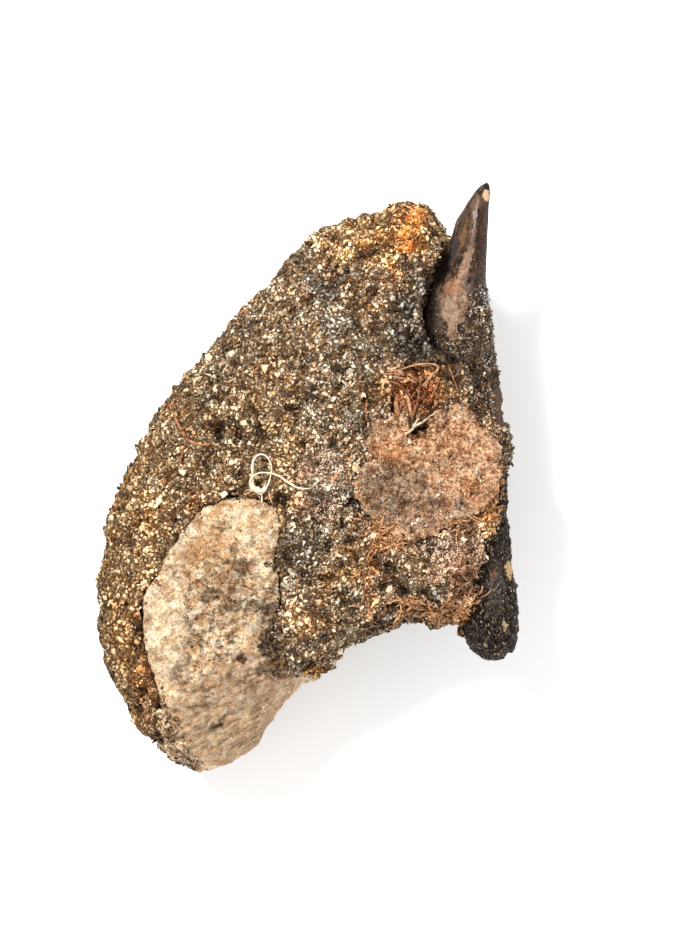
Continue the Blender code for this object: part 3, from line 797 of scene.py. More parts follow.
def enamel_tone(paint, veins):
    """Dark brown enamel, streaked and veined along the crown."""
    streaks = paint.noise(0.8, 6, 0.78, paint.stretched(1.7, 0.4, 1.7, -14))
    streaked = paint.ramp(streaks, (0.40, (20, 15, 12)), (0.48, (48, 36, 29)), (0.56, (92, 70, 54)),
                          (0.64, (140, 110, 86)))
    return paint.mix(paint.band(veins, 0.54, 0.64, 0.0, 0.6), streaked, srgb(150, 122, 98))


def lay_lines(paint, crown):
    """The crown's brown right side, the lines and smears drawn along it, and the grit at its foot."""
    paint.over((48, 29, 19), 0.8, paint.patch(484, 262, 8, 66, -3, 0.7))
    dashes = paint.noise(0.5, 5, 0.75, paint.stretched(0.5, 2.4, 1.0))
    paint.over((116, 66, 44), 0.6, paint.patch(484, 250, 5, 40, -3, 0.7), paint.band(dashes, 0.53, 0.57))
    drawn = paint.noise(0.9, 4, 0.65, paint.stretched(1.5, 0.3, 1.5, -14))
    paint.over((24, 18, 16), 0.6, crown, paint.line(drawn, 0.50, 0.02))
    paint.over((142, 112, 90), 0.45, crown, paint.line(drawn, 0.56, 0.014))
    paint.marks(ENAMEL_MARKS)
    foot = paint.either(paint.patch(455, 341, 28, 14, 0, 0.9), paint.patch(433, 322, 8, 28, -10, 0.9))
    paint.over((150, 132, 112), 0.8, foot, paint.band(paint.noise(0.30, 4, 0.7), 0.54, 0.59))


def lay_clay(paint):
    """A ragged film of pinkish clay down the middle of the crown."""
    clay = paint.either(paint.patch(454, 301, 14, 23, -8, 1.2), paint.patch(465, 268, 5, 22, -16, 1.0),
                        paint.patch(452, 328, 5, 12, 0, 1.0))
    clay = paint.torn(clay, 0.9, 2.0, 0.14)
    tone = paint.ramp(paint.noise(0.9, 6, 0.82, paint.stretched(1.3, 0.6, 1.3, -14)),
                      (0.41, (76, 56, 44)), (0.48, (128, 98, 76)), (0.55, (162, 128, 102)),
                      (0.62, (200, 168, 140)))
    paint.over(tone, 0.9, clay)
    paint.marks(CLAY_MARKS, clay)
    grit = paint.noise(0.34, 5, 0.8)
    paint.over((104, 78, 62), 0.6, clay, paint.band(grit, 0.52, 0.58))
    paint.over((206, 172, 144), 0.6, clay, paint.band(grit, 0.46, 0.41))
    wrinkles = paint.noise(0.6, 4, 0.7)
    paint.over((80, 58, 46), 0.75, clay, paint.line(wrinkles, 0.49, 0.016))
    paint.over((218, 184, 158), 0.6, clay, paint.line(wrinkles, 0.54, 0.014))


def tooth_paint():
    """Dark enamel on the crown with a film of clay on it, and a blacker, pitted root."""
    paint = Paint("tooth", CROWN_HEIGHT)
    paint.ragged = paint.warped(0.7, 0.6)
    y = paint.node("ShaderNodeSeparateXYZ", {0: paint.ragged}).outputs[1]
    crown = paint.band(y, 9.0 * MM, 12.0 * MM)
    veins = paint.noise(0.34, 5, 0.75, paint.stretched(1.4, 0.6, 1.4, -14))
    paint.colour = paint.mix(crown, root_tone(paint), enamel_tone(paint, veins))
    normal = paint.node("ShaderNodeNewGeometry").outputs["Normal"]
    facing_up = paint.band(paint.node("ShaderNodeSeparateXYZ", {0: normal}).outputs[2], -0.1, 0.25)
    paint.limits = (facing_up,)
    lay_lines(paint, crown)
    lay_clay(paint)
    paint.marks(CROWN_MARKS)
    # Painted sheen: a grey highlight on the middle of the root, in this mark and the next.
    paint.over((104, 94, 86), 0.6, paint.patch(496, 586, 9, 26, 4, 1.0), paint.band(veins, 0.44, 0.56))
    paint.over((132, 126, 120), 0.6, paint.patch(495, 586, 8, 7, 0, 1.2), paint.band(veins, 0.48, 0.58))
    paint.marks(ROOT_MARKS)
    worn = paint.noise(0.22, 4, 0.7)
    relief = paint.bump(paint.noise(0.4, 6, 0.8, paint.stretched(1.4, 0.7, 1.4)), 0.24)
    relief = paint.bump(worn, 0.06, relief)
    roughness = paint.math("ADD", paint.band(worn, 0.35, 0.65, 0.42, 0.7), paint.product(crown, -0.14))
    return paint.done(0.15, roughness, relief)


def fibre_paint(name, dark, light, dusty):
    """A dry plant fibre: mottled and dusty along its length, and no two strands of one tone."""
    paint = Paint(name)
    mottle = paint.band(paint.noise(0.35, 4, 0.7), 0.40, 0.60, -0.42, 0.42)
    tone = paint.math("ADD", paint.attribute("tone"), mottle, clamp=True)
    paint.colour = paint.mix(tone, srgb(*dark), srgb(*light))
    paint.over((226, 200, 166), dusty, paint.band(paint.noise(0.22, 3, 0.6), 0.55, 0.62))
    return paint.done(0.2, 0.8, paint.bump(paint.noise(0.12), 0.05))


# ---------------------------------------------------------------- grains

GRAIN_SPACING = 0.385
GRAIN_RADIUS = 0.235
GRAIN_RADIUS_SPREAD = 0.36
GRAIN_RADIUS_LIMITS = (0.12, 0.46)
CHIP_SPACING = 0.37
CHIP_RADIUS = 0.152
CHIP_SHAPE = (2.1, 0.95, 0.8)
FACES_A_PIECE = 190000
# How a grain is broken from its form: stretch, dents, flat cuts, and how far from the middle they are.
STRETCHES = (0.55, 1.3)
DENTS = 0.13
CUTS = 4
CUT_DISTANCES = (0.38, 0.85)
# Random places tried for each square of the spacing, and how far off a surface a search starts.
THROWS = 1.9
OFF_SURFACE = 0.02
# Grains whose ground faces up by less than this sink deeper, by this share of their radius.
WALL_TILT = 0.45
WALL_SINK = 0.4

# Tones: how far grains and facets differ, the painted light on facets that face outwards and painted shade on
# those that face aside, and clouds of (size, height).
MIDDLE_WARMTH = 0.5
GRAIN_TONE = 0.16
GRAIN_WARMTH = 0.03
FACET_TONE = 0.12
FACET_LIGHT_AND_SHADE = 0.44
TOP_FACING = 0.60
SAND_LIGHT = (1.12, 1.09, 1.00)
TONE_CLOUDS = ((4.2, 0.46), (2.0, 0.56), (1.0, 0.60), (0.55, 0.85))
WARMTH_CLOUDS = ((4.5, 1.4), (2.0, 1.2), (1.0, 0.2))
HUE_CLOUDS = ((3.4, 0.9), (1.3, 0.8), (0.6, 0.2))
HUE_SWING = (0.09, 0.01, -0.07)

# The dirt and painted shade in hollows, by how far they are sunk, and painted shade on walls, by how little
# they face up.
HOLLOW_DIRT_AND_SHADE = (0.30, 0.25, 0.21)
HOLLOW_SHADE_FROM = -0.42
HOLLOW_SHADE_FULL = -0.95
WALL_SHADE = (0.56, 0.55, 0.49)
WALL_FROM = 0.84
WALL_FULL = 0.25
BED_STRETCH = (0.14, 0.14, 0.8)
BED_CLOUDS = ((1.6, 0.9), (0.8, 0.5))
BED_SWING = (0.30, 0.26, 0.20)


def grain_form():
    """A ball of radius 1 with 12 corners: its corners and its faces."""
    ball = bmesh.new()
    bmesh.ops.create_icosphere(ball, subdivisions=1, radius=1.0)
    corners = np.array([vert.co for vert in ball.verts])
    faces = np.array([[vert.index for vert in face.verts] for face in ball.faces])
    ball.free()
    return corners, faces


def chip_form():
    """An eight-sided chip, longer than wide: its corners and its faces."""
    corners = np.array([(1, 0, 0), (-1, 0, 0), (0, 1, 0), (0, -1, 0), (0, 0, 1), (0, 0, -1)]) * CHIP_SHAPE
    faces = np.array([(0, 2, 4), (2, 1, 4), (1, 3, 4), (3, 0, 4), (2, 0, 5), (1, 2, 5), (3, 1, 5), (0, 3, 5)])
    return corners, faces


def thinned(places, spacing):
    """The numbers of places that stay when each one nearer than the spacing to a kept one goes."""
    cells = {}
    kept = []
    steps = [(x, y, z) for x in (-1, 0, 1) for y in (-1, 0, 1) for z in (-1, 0, 1)]
    keys = np.floor(places / spacing).astype(int).tolist()
    limit = spacing ** 2
    for i, ((x, y, z), here) in enumerate(zip(keys, places.tolist())):
        near = (other for dx, dy, dz in steps for other in cells.get((x + dx, y + dy, z + dz), ()))
        if all(sum((a - b) ** 2 for a, b in zip(here, other)) >= limit for other in near):
            cells.setdefault((x, y, z), []).append(here)
            kept.append(i)
    return kept


def spread(key, spacing):
    """Places and normals spread over a piece, no two nearer than about the spacing."""
    mesh = PIECES[key].data
    corners = points_of(mesh)[triangles_of(mesh)]
    across = np.cross(corners[:, 1] - corners[:, 0], corners[:, 2] - corners[:, 0])
    doubled = np.linalg.norm(across, axis=1)
    tries = int(doubled.sum() / 2 / spacing ** 2 * THROWS)
    chosen = rng.choice(len(corners), tries, p=doubled / doubled.sum())
    a, b = rng.random((2, tries, 1))
    fold = a + b > 1
    a, b = np.where(fold, 1 - a, a), np.where(fold, 1 - b, b)
    at = corners[chosen]
    places = at[:, 0] + (at[:, 1] - at[:, 0]) * a + (at[:, 2] - at[:, 0]) * b
    normals = across[chosen] / doubled[chosen, None]
    kept = thinned(places, spacing)
    return places[kept], normals[kept]


def bare(places, normals, covers, reach):
    """Whether nothing of the covering pieces lies close over each place on a surface."""
    trees = [TREES[key] for key in covers]
    found = []
    for place, normal, far in zip(places, normals, np.broadcast_to(reach, len(places))):
        start = Vector(place) + Vector(normal) * OFF_SURFACE
        found.append(all(tree.ray_cast(start, Vector(normal), far)[0] is None for tree in trees))
    return np.array(found)


def random_turns(count):
    """Random rotations as matrices."""
    quaternions = rng.normal(size=(count, 4))
    w, x, y, z = (quaternions / np.linalg.norm(quaternions, axis=1, keepdims=True)).T
    return np.stack([
        np.stack([1 - 2 * (y * y + z * z), 2 * (x * y - w * z), 2 * (x * z + w * y)], 1),
        np.stack([2 * (x * y + w * z), 1 - 2 * (x * x + z * z), 2 * (y * z - w * x)], 1),
        np.stack([2 * (x * z - w * y), 2 * (y * z + w * x), 1 - 2 * (x * x + y * y)], 1),
    ], 1)


def broken(form, count):
    """Copies of a form, each squashed, dented and flattened by random cuts as a broken grain is."""
    corners = form[None] * rng.uniform(*STRETCHES, (count, 1, 3))
    corners = corners * (1 + rng.normal(0, DENTS, (count, len(form), 1)))
    for _ in range(CUTS):
        aim = rng.normal(size=(count, 1, 3))
        aim /= np.linalg.norm(aim, axis=2, keepdims=True)
        beyond = (corners * aim).sum(2, keepdims=True) - rng.uniform(*CUT_DISTANCES, (count, 1, 1))
        corners = corners - aim * np.maximum(beyond, 0)
    return np.einsum("nij,nkj->nki", random_turns(count), corners)


def hollow_dirt_and_shade(places):
    """The tint of sand by its height: in the hollows of the stone it is dirty and darkened with painted
    shade.
    """
    lifts = np.array([lift_at(place) for place in places])
    # Painted shade, with some dirt: the lower a place sits, the darker its tint.
    low = np.clip((HOLLOW_SHADE_FROM - lifts) / (HOLLOW_SHADE_FROM - HOLLOW_SHADE_FULL), 0, 1)
    return 1 + low[:, None] * (np.array(HOLLOW_DIRT_AND_SHADE) - 1)


def wall_shade(places, normals):
    """The tint of sand by how steep its ground is: the walls are darkened with painted shade and faintly
    bedded.
    """
    # Painted shade: the steeper the ground, the darker the tint; the bedding clouds vary it.
    steep = np.clip((WALL_FROM - normals[:, 2]) / (WALL_FROM - WALL_FULL), 0, 1)
    beds = clouds(places * np.array(BED_STRETCH), *BED_CLOUDS, apart=33.0)
    return 1 + steep[:, None] * (np.array(WALL_SHADE) * (1 + beds[:, None] * np.array(BED_SWING)) - 1)


def sand_tints(places, normals, random):
    """The tint of sand at places on the stone: its stains, the dirt and painted shade of its hollows, and the
    painted shade of its walls.
    """
    return stain_tints(places, random, SAND_STAINS) * hollow_dirt_and_shade(places) * wall_shade(places, normals)


def grain_pieces(name, stuff, corners, faces, facets, own):
    """Pieces of a fair size from the corners of grains, the tones of their facets and their own values."""
    material, slot = stuff
    step = FACES_A_PIECE // len(faces)
    for number, first in enumerate(range(0, len(corners), step)):
        part = slice(first, first + step)
        some, each = corners[part].shape[:2]
        numbered = (faces[None] + np.arange(some)[:, None, None] * each).reshape(-1, 3)
        mesh = mesh_of(name, corners[part].reshape(-1, 3), numbered)
        mesh.shade_flat()
        add_layer(mesh, "tone", facets[part])
        for key, values in own.items():
            add_layer(mesh, key, np.repeat(values[part], len(faces), axis=0))
        link(f"{name}_{number + 1}", mesh, material)


def lay_grains(name, stuff, places, normals, form=grain_form, radius=GRAIN_RADIUS,
               sunk=0.8, proud=0.3, brightness=0.55, contrast=1.0, tints=None):
    """Grains at these places, each with its own shape, tone and shine."""
    shape, faces = form()
    count = len(places)
    radii = radius * np.exp(rng.normal(0, GRAIN_RADIUS_SPREAD, count))
    radii = np.clip(radii, *(limit * radius / GRAIN_RADIUS for limit in GRAIN_RADIUS_LIMITS))
    depths = rng.uniform(-sunk, proud, count) - WALL_SINK * (normals[:, 2] < WALL_TILT)
    centres = places + normals * (depths * radii)[:, None]
    corners = broken(shape, count) * radii[:, None, None] + centres[:, None]
    corners[..., 2] = np.clip(corners[..., 2], 0.0, GRAIN_CEILING)
    tone = brightness + contrast * (rng.normal(0, GRAIN_TONE, count) + clouds(places, *TONE_CLOUDS))
    warmth = MIDDLE_WARMTH + rng.normal(0, GRAIN_WARMTH, count) + clouds(places, *WARMTH_CLOUDS, apart=50.0)
    shine = rng.random(count)
    if tints is None:
        tints = sand_tints(places, normals, rng.random(count)) * SAND_LIGHT
    tints = tints * (1 + clouds(places, *HUE_CLOUDS, apart=90.0)[:, None] * np.array(HUE_SWING))
    ends = corners[:, faces]
    facing = np.cross(ends[:, :, 1] - ends[:, :, 0], ends[:, :, 2] - ends[:, :, 0])
    facing /= np.maximum(np.linalg.norm(facing, axis=2, keepdims=True), 1e-9)
    # Painted light and shade: facets that face out from the ground are lighter, those that face aside or down
    # are darker.
    facets = tone[:, None] + FACET_LIGHT_AND_SHADE * ((facing * normals[:, None]).sum(2) - TOP_FACING)
    facets += rng.normal(0, FACET_TONE, facets.shape)
    own = {"warmth": np.clip(warmth, 0, 1), "shine": shine, "tint": tints}
    grain_pieces(name, stuff, corners, faces, np.clip(facets, 0, 1), own)


# ---------------------------------------------------------------- sand on the stone

# Outlines of the clay that is smeared on the sandstone, in pixels.
PINK_PATCH = [
    (424, 545), (436, 539), (452, 537), (470, 541), (484, 536), (489, 546), (485, 560), (476, 572),
    (472, 585), (474, 597), (460, 600), (448, 592), (440, 580), (430, 566),
]
ROSY_PATCH = [
    (306, 462), (318, 452), (336, 458), (346, 470), (350, 490), (346, 508), (336, 520), (318, 522),
    (304, 510), (298, 494), (300, 476),
]
# The sandstone has fewer chips left of a pixel, and fades to that over so many.
CALM_LEFT_OF = 220
CALM_FADE = 60
# How far out from a place another piece hides it: a grain on ground that faces up and on a wall, a
# chip, and a grain at a seam.
HIDDEN_UNDER = (0.3, 0.9)
CHIP_HIDDEN_UNDER = 0.6
SEAM_HIDDEN_UNDER = 0.25
# Where a normal's height is above the first, ground faces up, and below the second it is the underside.
UPWARD = 0.3
UNDERSIDE = -0.6
# Shares of the grains that stay on the underside and on smeared clay, of the chips that stay on smeared
# clay and anywhere, and what of the last the calm part loses.
UNDERSIDE_SHARE = 0.2
CLAY_GRAINS = 0.12
CLAY_CHIPS = 0.15
CHIP_SHARE = 0.95
CALM_LOSS = 0.45
SEAM_CLOUDS = ((1.6, 1.0), (0.7, 0.5))
SEAM_FACING = -0.1


def inside(px, py, outline):
    """Whether pixels lie inside an outline."""
    within = np.zeros(len(px), bool)
    for (x0, y0), (x1, y1) in zip(outline, outline[1:] + outline[:1]):
        crosses = (y0 > py) != (y1 > py)
        slope = (x1 - x0) / (y1 - y0) if y1 != y0 else 0.0
        within ^= crosses & (px < x0 + (py - y0) * slope)
    return within


def clay_ground(places):
    """Whether places on the sandstone lie under the clay that is smeared on it."""
    px, py = pixels_of(places)
    return (inside(px, py, ROSY_PATCH) | inside(px, py, PINK_PATCH)) & (places[:, 2] > STAIN_FOOT)


def sand_the_stone():
    """Grains all over the sandstone, except where another piece covers it, and chips on its top."""
    covers = ("tooth", "clast", "crust")
    places, normals = spread("stone", GRAIN_SPACING)
    kept = bare(places, normals, covers, np.where(normals[:, 2] > UPWARD, *HIDDEN_UNDER))
    kept &= (normals[:, 2] > UNDERSIDE) | (rng.random(len(places)) < UNDERSIDE_SHARE)
    kept &= ~clay_ground(places) | (rng.random(len(places)) < CLAY_GRAINS)
    lay_grains("sand", SAND, places[kept], normals[kept])
    places, normals = spread("stone", CHIP_SPACING)
    calm = np.clip((CALM_LEFT_OF - pixels_of(places)[0]) / CALM_FADE, 0, 1)
    kept = (normals[:, 2] > UPWARD) & (rng.random(len(places)) < CHIP_SHARE - CALM_LOSS * calm)
    kept &= ~clay_ground(places) | (rng.random(len(places)) < CLAY_CHIPS)
    kept &= bare(places, normals, covers, CHIP_HIDDEN_UNDER)
    lay_grains("sand_chips", SAND, places[kept], normals[kept], form=chip_form, radius=CHIP_RADIUS,
               sunk=0.0, proud=1.3, brightness=0.56, contrast=1.2)


def sand_the_seam(key, reach, share):
    """Grains on a piece's edge, where it lies next to the sandstone, which hide the seam."""
    places, normals = spread(key, GRAIN_SPACING)
    near = np.array([TREES["stone"].find_nearest(Vector(place), reach)[0] is not None for place in places])
    ragged = clouds(places, *SEAM_CLOUDS, apart=20.0) + rng.random(len(places)) < share
    kept = near & ragged & (normals[:, 2] > SEAM_FACING)
    kept &= bare(places, normals, ["stone"], SEAM_HIDDEN_UNDER)
    lay_grains(f"sand_by_{key}", SAND, places[kept], normals[kept], radius=0.18, brightness=0.40)


# ---------------------------------------------------------------- relief of the pieces

# Small hollows and swellings: pixel, half width in pixels, and rise in millimetres.
SAND_SPOTS = [
    (412, 388, 20, -0.9), (397, 404, 6, -0.7), (421, 431, 6, -0.6), (371, 563, 5, -0.9),
    (387, 569, 4, -0.7), (382, 590, 6, -0.8), (404, 592, 5, -0.8), (422, 593, 5, -0.7),
    (421, 612, 5, -0.8), (428, 547, 4, -0.7), (279, 503, 6, -0.7), (221, 430, 6, -1.2),
    (236, 434, 5, -0.7), (377, 640, 8, -0.8), (350, 505, 7, -0.5), (376, 517, 8, -0.5),
    (440, 357, 14, -0.4), (300, 405, 6, -0.5), (345, 372, 7, -0.4), (288, 330, 8, -0.4),
    (165, 470, 8, -0.4), (320, 470, 20, 0.35), (345, 600, 10, 0.3), (312, 560, 8, 0.3),
    (205, 416, 9, 0.75), (262, 398, 9, 0.35), (330, 300, 10, 0.3), (380, 290, 9, 0.3),
    (130, 560, 10, 0.3), (455, 560, 14, 0.3),
]
CLAST_SPOTS = [
    (241, 660, 5, -0.8), (254, 586, 4, -0.4), (268, 564, 2.5, -0.7), (220, 529, 6, -0.45),
    (216, 726, 6, -0.5), (243, 541, 13, 0.25), (253, 544, 2.5, -0.3), (210, 596, 8, -0.25),
    (252, 606, 6, -0.35), (270, 640, 10, -0.5), (250, 677, 6, -0.35), (260, 674, 6, -0.35),
    (190, 645, 7, -0.2), (200, 706, 7, -0.2), (200, 676, 4, 0.2),
]
CRUST_SPOTS = [
    (414, 436, 8, -0.6), (467, 466, 4, -0.35), (398, 470, 10, -0.3), (450, 445, 12, 0.2),
    (478, 422, 6, -0.35), (434, 504, 8, -0.25), (384, 446, 9, 0.2), (376, 488, 6, -0.2),
]
SPOT_REACH = 6
SPOT_FACING = 0.2
# Lumps added to a piece: pixel, height of the middle, half width and half height in millimetres.
STONE_LUMPS = [
    (501, 434, 18.8, 1.00, 1.5), (503, 449, 18.3, 1.05, 1.8), (498, 466, 18.2, 1.05, 1.8),
    (494, 482, 18.3, 1.00, 1.6), (492, 500, 18.3, 0.90, 1.5), (489, 515, 18.6, 1.10, 1.5),
    (486, 529, 18.6, 1.15, 1.5), (479, 545, 18.8, 1.00, 1.5), (476, 559, 18.6, 1.15, 1.6),
    (469, 572, 18.4, 0.95, 1.6), (465, 585, 18.0, 0.90, 1.7), (467, 597, 17.2, 1.10, 1.9),
    (461, 607, 16.4, 0.95, 2.0), (456, 619, 15.0, 0.80, 2.4),
]
TOOTH_LUMPS = [(464, 630, 12.9, 0.95, 1.0)]
CLAST_LUMPS = [(266, 575, 20.95, 1.05, 1.25)]
TOOTH_SHIFT = (0.2, 0, 0)

# Relief as octaves of (size, height), how much of it stays on a wall, and what raises the whole.
STONE_OCTAVES = ((3.6, 0.8), (1.5, 0.95), (0.8, 0.6))
STONE_ON_WALLS = 0.65
STONE_RISE = -0.27
CLAST_OCTAVES = ((3.2, 0.7), (1.2, 0.55), (0.6, 0.40))
CLAST_ON_WALLS = 0.4
CLAST_RISE = 0.12
CRUST_OCTAVES = ((1.8, 0.55), (0.8, 0.42), (0.42, 0.30))
CRUST_RISE = -0.06
CROWN_OCTAVES = ((1.6, 0.16), (0.7, 0.07))
CROWN_DRAWN = 0.3
ROOT_OCTAVES = ((2.2, 0.3), (0.8, 0.26), (0.45, 0.2))
ROOT_RISE = 0.04
# The clast's laminae start below one y and the crown above another, and each is full this much on.
CLAST_FOOT = -15.0
CROWN_START = 11.0
FORM_FADE = 4.0
LAMINA_AIM = (0.9, 0.44)
LAMINA_SQUEEZE = 3.5
LAMINA_SIZE = 2.2
LAMINA_DEPTH = 0.35


def spots_rise(place, normal, spots):
    """The rise of the spots at a place that faces up."""
    if normal.z < SPOT_FACING or place.z < STAIN_FOOT:
        return 0.0
    nearness = (CAMERA_PLACE.z - place.z) / CAMERA_DISTANCE * PIXEL
    px = MIDDLE_PX[0] + (place.x - CAMERA_PLACE.x) / nearness
    py = MIDDLE_PX[1] - (place.y - CAMERA_PLACE.y) / nearness
    rise = 0.0
    for x, y, half, height in spots:
        away = ((px - x) ** 2 + (py - y) ** 2) / half ** 2
        if away < SPOT_REACH:
            rise += height * math.exp(-away)
    return rise


def facing_up(normal):
    """How much a place faces up, from 0 on a wall to 1."""
    return max(normal.z, 0.0)


def by_facing(normal, on_walls):
    """The share of the relief that a place has: all of it where it faces up, and less on a wall."""
    return on_walls + (1 - on_walls) * facing_up(normal)


def faded(distance):
    """0 where a form hasn't started, and 1 where it is full."""
    return min(max(distance / FORM_FADE, 0.0), 1.0)


def stone_relief(place, normal):
    """Lumpy sandstone, calmer on its walls."""
    rough = by_facing(normal, STONE_ON_WALLS) * fractal(place, *STONE_OCTAVES)
    return STONE_RISE + rough + spots_rise(place, normal, SAND_SPOTS)


def clast_relief(place, normal):
    """Rough mudstone, with slanted laminae at its foot."""
    along, aside = LAMINA_AIM
    across = (place.y * along - place.x * aside) * LAMINA_SQUEEZE
    slanted = Vector((place.x * along + place.y * aside, across, place.z)) / LAMINA_SIZE
    laminae = LAMINA_DEPTH * faded(CLAST_FOOT - place.y) * facing_up(normal) * noise.noise(slanted)
    rough = by_facing(normal, CLAST_ON_WALLS) * fractal(place, *CLAST_OCTAVES)
    return CLAST_RISE + rough + laminae + spots_rise(place, normal, CLAST_SPOTS)


def crust_relief(place, normal):
    """Crumbly clay."""
    return CRUST_RISE + fractal(place, *CRUST_OCTAVES) + spots_rise(place, normal, CRUST_SPOTS)


def tooth_relief(place, normal):
    """A crown that is faintly drawn along its length, and a rougher root."""
    crown = faded(place.y - CROWN_START)
    drawn = Vector((place.x, place.y * CROWN_DRAWN, place.z))
    on_root = ROOT_RISE + fractal(place, *ROOT_OCTAVES)
    return crown * fractal(drawn, *CROWN_OCTAVES) + (1 - crown) * on_root


def dress(key, relief, material, stains=None, shift=(0, 0, 0)):
    """Gives a fine piece its relief, material and stains, and returns how far its points were moved."""
    piece = PIECES[key]
    places, lifts = raise_surface(piece, relief, shift)
    piece.data.materials.append(material)
    if stains:
        add_layer(piece.data, "tint", stain_tints(places, np.ones(len(places)), stains, FINE_EDGE), "POINT")
    return lifts


def nearest_lift(places, lifts):
    """A function that says how far the surface was raised nearest to a place."""
    tree = KDTree(len(places))
    for i, place in enumerate(places):
        tree.insert(place, i)
    tree.balance()
    return lambda place: lifts[tree.find(Vector(place))[1]]


PIECES["stone"] = fine_copy("sandstone_matrix", "stone", STONE_VOXEL, smoothing=5, lumps=STONE_LUMPS)
PIECES["tooth"] = fine_copy("tooth", "tooth_surface", TOOTH_VOXEL, smoothing=8, lumps=TOOTH_LUMPS)
PIECES["clast"] = fine_copy("mudstone_clast", "clast", CLAST_VOXEL, smoothing=5, lumps=CLAST_LUMPS)
PIECES["crust"] = fine_copy("clay_crust", "crust", CRUST_VOXEL, smoothing=4)

dress("tooth", tooth_relief, tooth_paint(), shift=TOOTH_SHIFT)
dress("clast", clast_relief, clast_paint(), CLAST_STAINS)
dress("crust", crust_relief, crust_paint(), CRUST_STAINS)
stone_lifts = dress("stone", stone_relief, stone_paint())

for key in ("tooth", "clast", "crust"):
    TREES[key] = surface_tree(PIECES[key])
    close_gap(PIECES["stone"], TREES[key], SEAM_REACH)
TREES["stone"] = surface_tree(PIECES["stone"])

stone_mesh = PIECES["stone"].data
stone_places = points_of(stone_mesh)
lift_at = nearest_lift(stone_places, stone_lifts)
# The stone's own tint takes its stains, the dirt and painted shade of its hollows, and the painted shade of
# its walls.
stone_tints = sand_tints(stone_places, normals_of(stone_mesh), np.ones(len(stone_places)))
add_layer(stone_mesh, "tint", stone_tints, "POINT")

SAND = (grain_paint("sand_grains"), "sandstone")
sand_the_stone()
sand_the_seam("clast", reach=1.0, share=0.8)
sand_the_seam("crust", reach=1.3, share=0.75)


# ---------------------------------------------------------------- crumbs and sand on the other pieces

CLAY = (grain_paint("clay_crumbs", CLAY_GREY, CLAY_WARM), "clay_crust")
CHALK = (grain_paint("chalk_crumbs", CHALK_GREY, CHALK_GREY), "mudstone")
CRUMB_SHARE = 0.5
CRUMB_FACING = 0.45
CRUMB_HIDDEN_UNDER = 0.5
AROUND_FACING = 0.2
AROUND_FADE = 0.7
COAT_EDGE = ((1.3, 0.9), (0.5, 0.5))
COAT_HIDDEN_UNDER = 0.2
TOOTH_COAT_FACING = -0.3
COAT_CHIP_RADIUS = 0.11
COAT_CHIP_SHARE = 0.6
COAT_CHIP_LIGHT = 0.12

DARK_SAND = (0.60, 0.60, 0.60)
CROWN_SAND = (0.64, 0.76, 0.86)
GOLD_SAND = (0.94, 0.76, 0.52)
PLAIN_SAND = (0.90, 0.87, 0.82)
TIP_SAND = (0.74, 0.70, 0.64)
ROSY_CLAY = (0.94, 0.84, 0.80)
GREY_CLAY = (1.02, 0.96, 0.92)
ORANGE_CLAY = (1.30, 0.66, 0.20)
BURNT_CLAY = (1.0, 0.80, 0.60)
FOOT_GRIT = (0.62, 0.60, 0.58)
SOOT = (0.34, 0.32, 0.31)
CROWN_COAT = [
    (477, 284), (472, 300), (468, 318), (463, 332), (454, 338), (440, 345), (434, 372), (505, 392),
    (505, 340), (500, 300), (490, 285),
]
FLANK_COAT = [(466, 372), (494, 388), (494, 424), (466, 424)]
ROOT_COAT = [
    (484, 440), (514, 440), (508, 470), (504, 492), (501, 510), (499, 528), (491, 542), (489, 558),
    (481, 568), (477, 584), (481, 596), (474, 606), (466, 620), (464, 634), (448, 636), (444, 600),
    (448, 560), (466, 520),
]
WEDGE_COAT = [
    (280, 545), (272, 566), (276, 586), (266, 606), (259, 626), (254, 646), (266, 664), (290, 676),
    (306, 672), (290, 640), (288, 600), (290, 560),
]
TIP_COAT = [
    (150, 688), (162, 700), (172, 716), (180, 730), (190, 741), (199, 754), (205, 768), (194, 778),
    (168, 764), (138, 740),
]
CRUMB_EDGE = [
    (488, 470), (504, 466), (506, 490), (502, 514), (494, 532), (484, 546), (472, 540), (480, 520),
    (486, 500),
]
ORANGE_PATCH = [
    (394, 238), (400, 229), (406, 221), (411, 208), (419, 205), (424, 212), (421, 222), (422, 238),
    (417, 249), (408, 253), (400, 250),
]
CROWN_FOOT = [
    (427, 296), (434, 284), (439, 300), (440, 320), (450, 336), (462, 334), (474, 322), (480, 330),
    (466, 350), (436, 352), (424, 334), (421, 306),
]
MAT_PATCH = [
    (402, 600), (424, 603), (440, 609), (460, 596), (480, 594), (478, 604), (466, 620), (450, 620),
    (430, 624), (418, 610),
]
ROOT_SPECKS = [
    (484, 480), (512, 480), (514, 540), (522, 640), (512, 660), (480, 662), (462, 640), (470, 600),
    (484, 560),
]
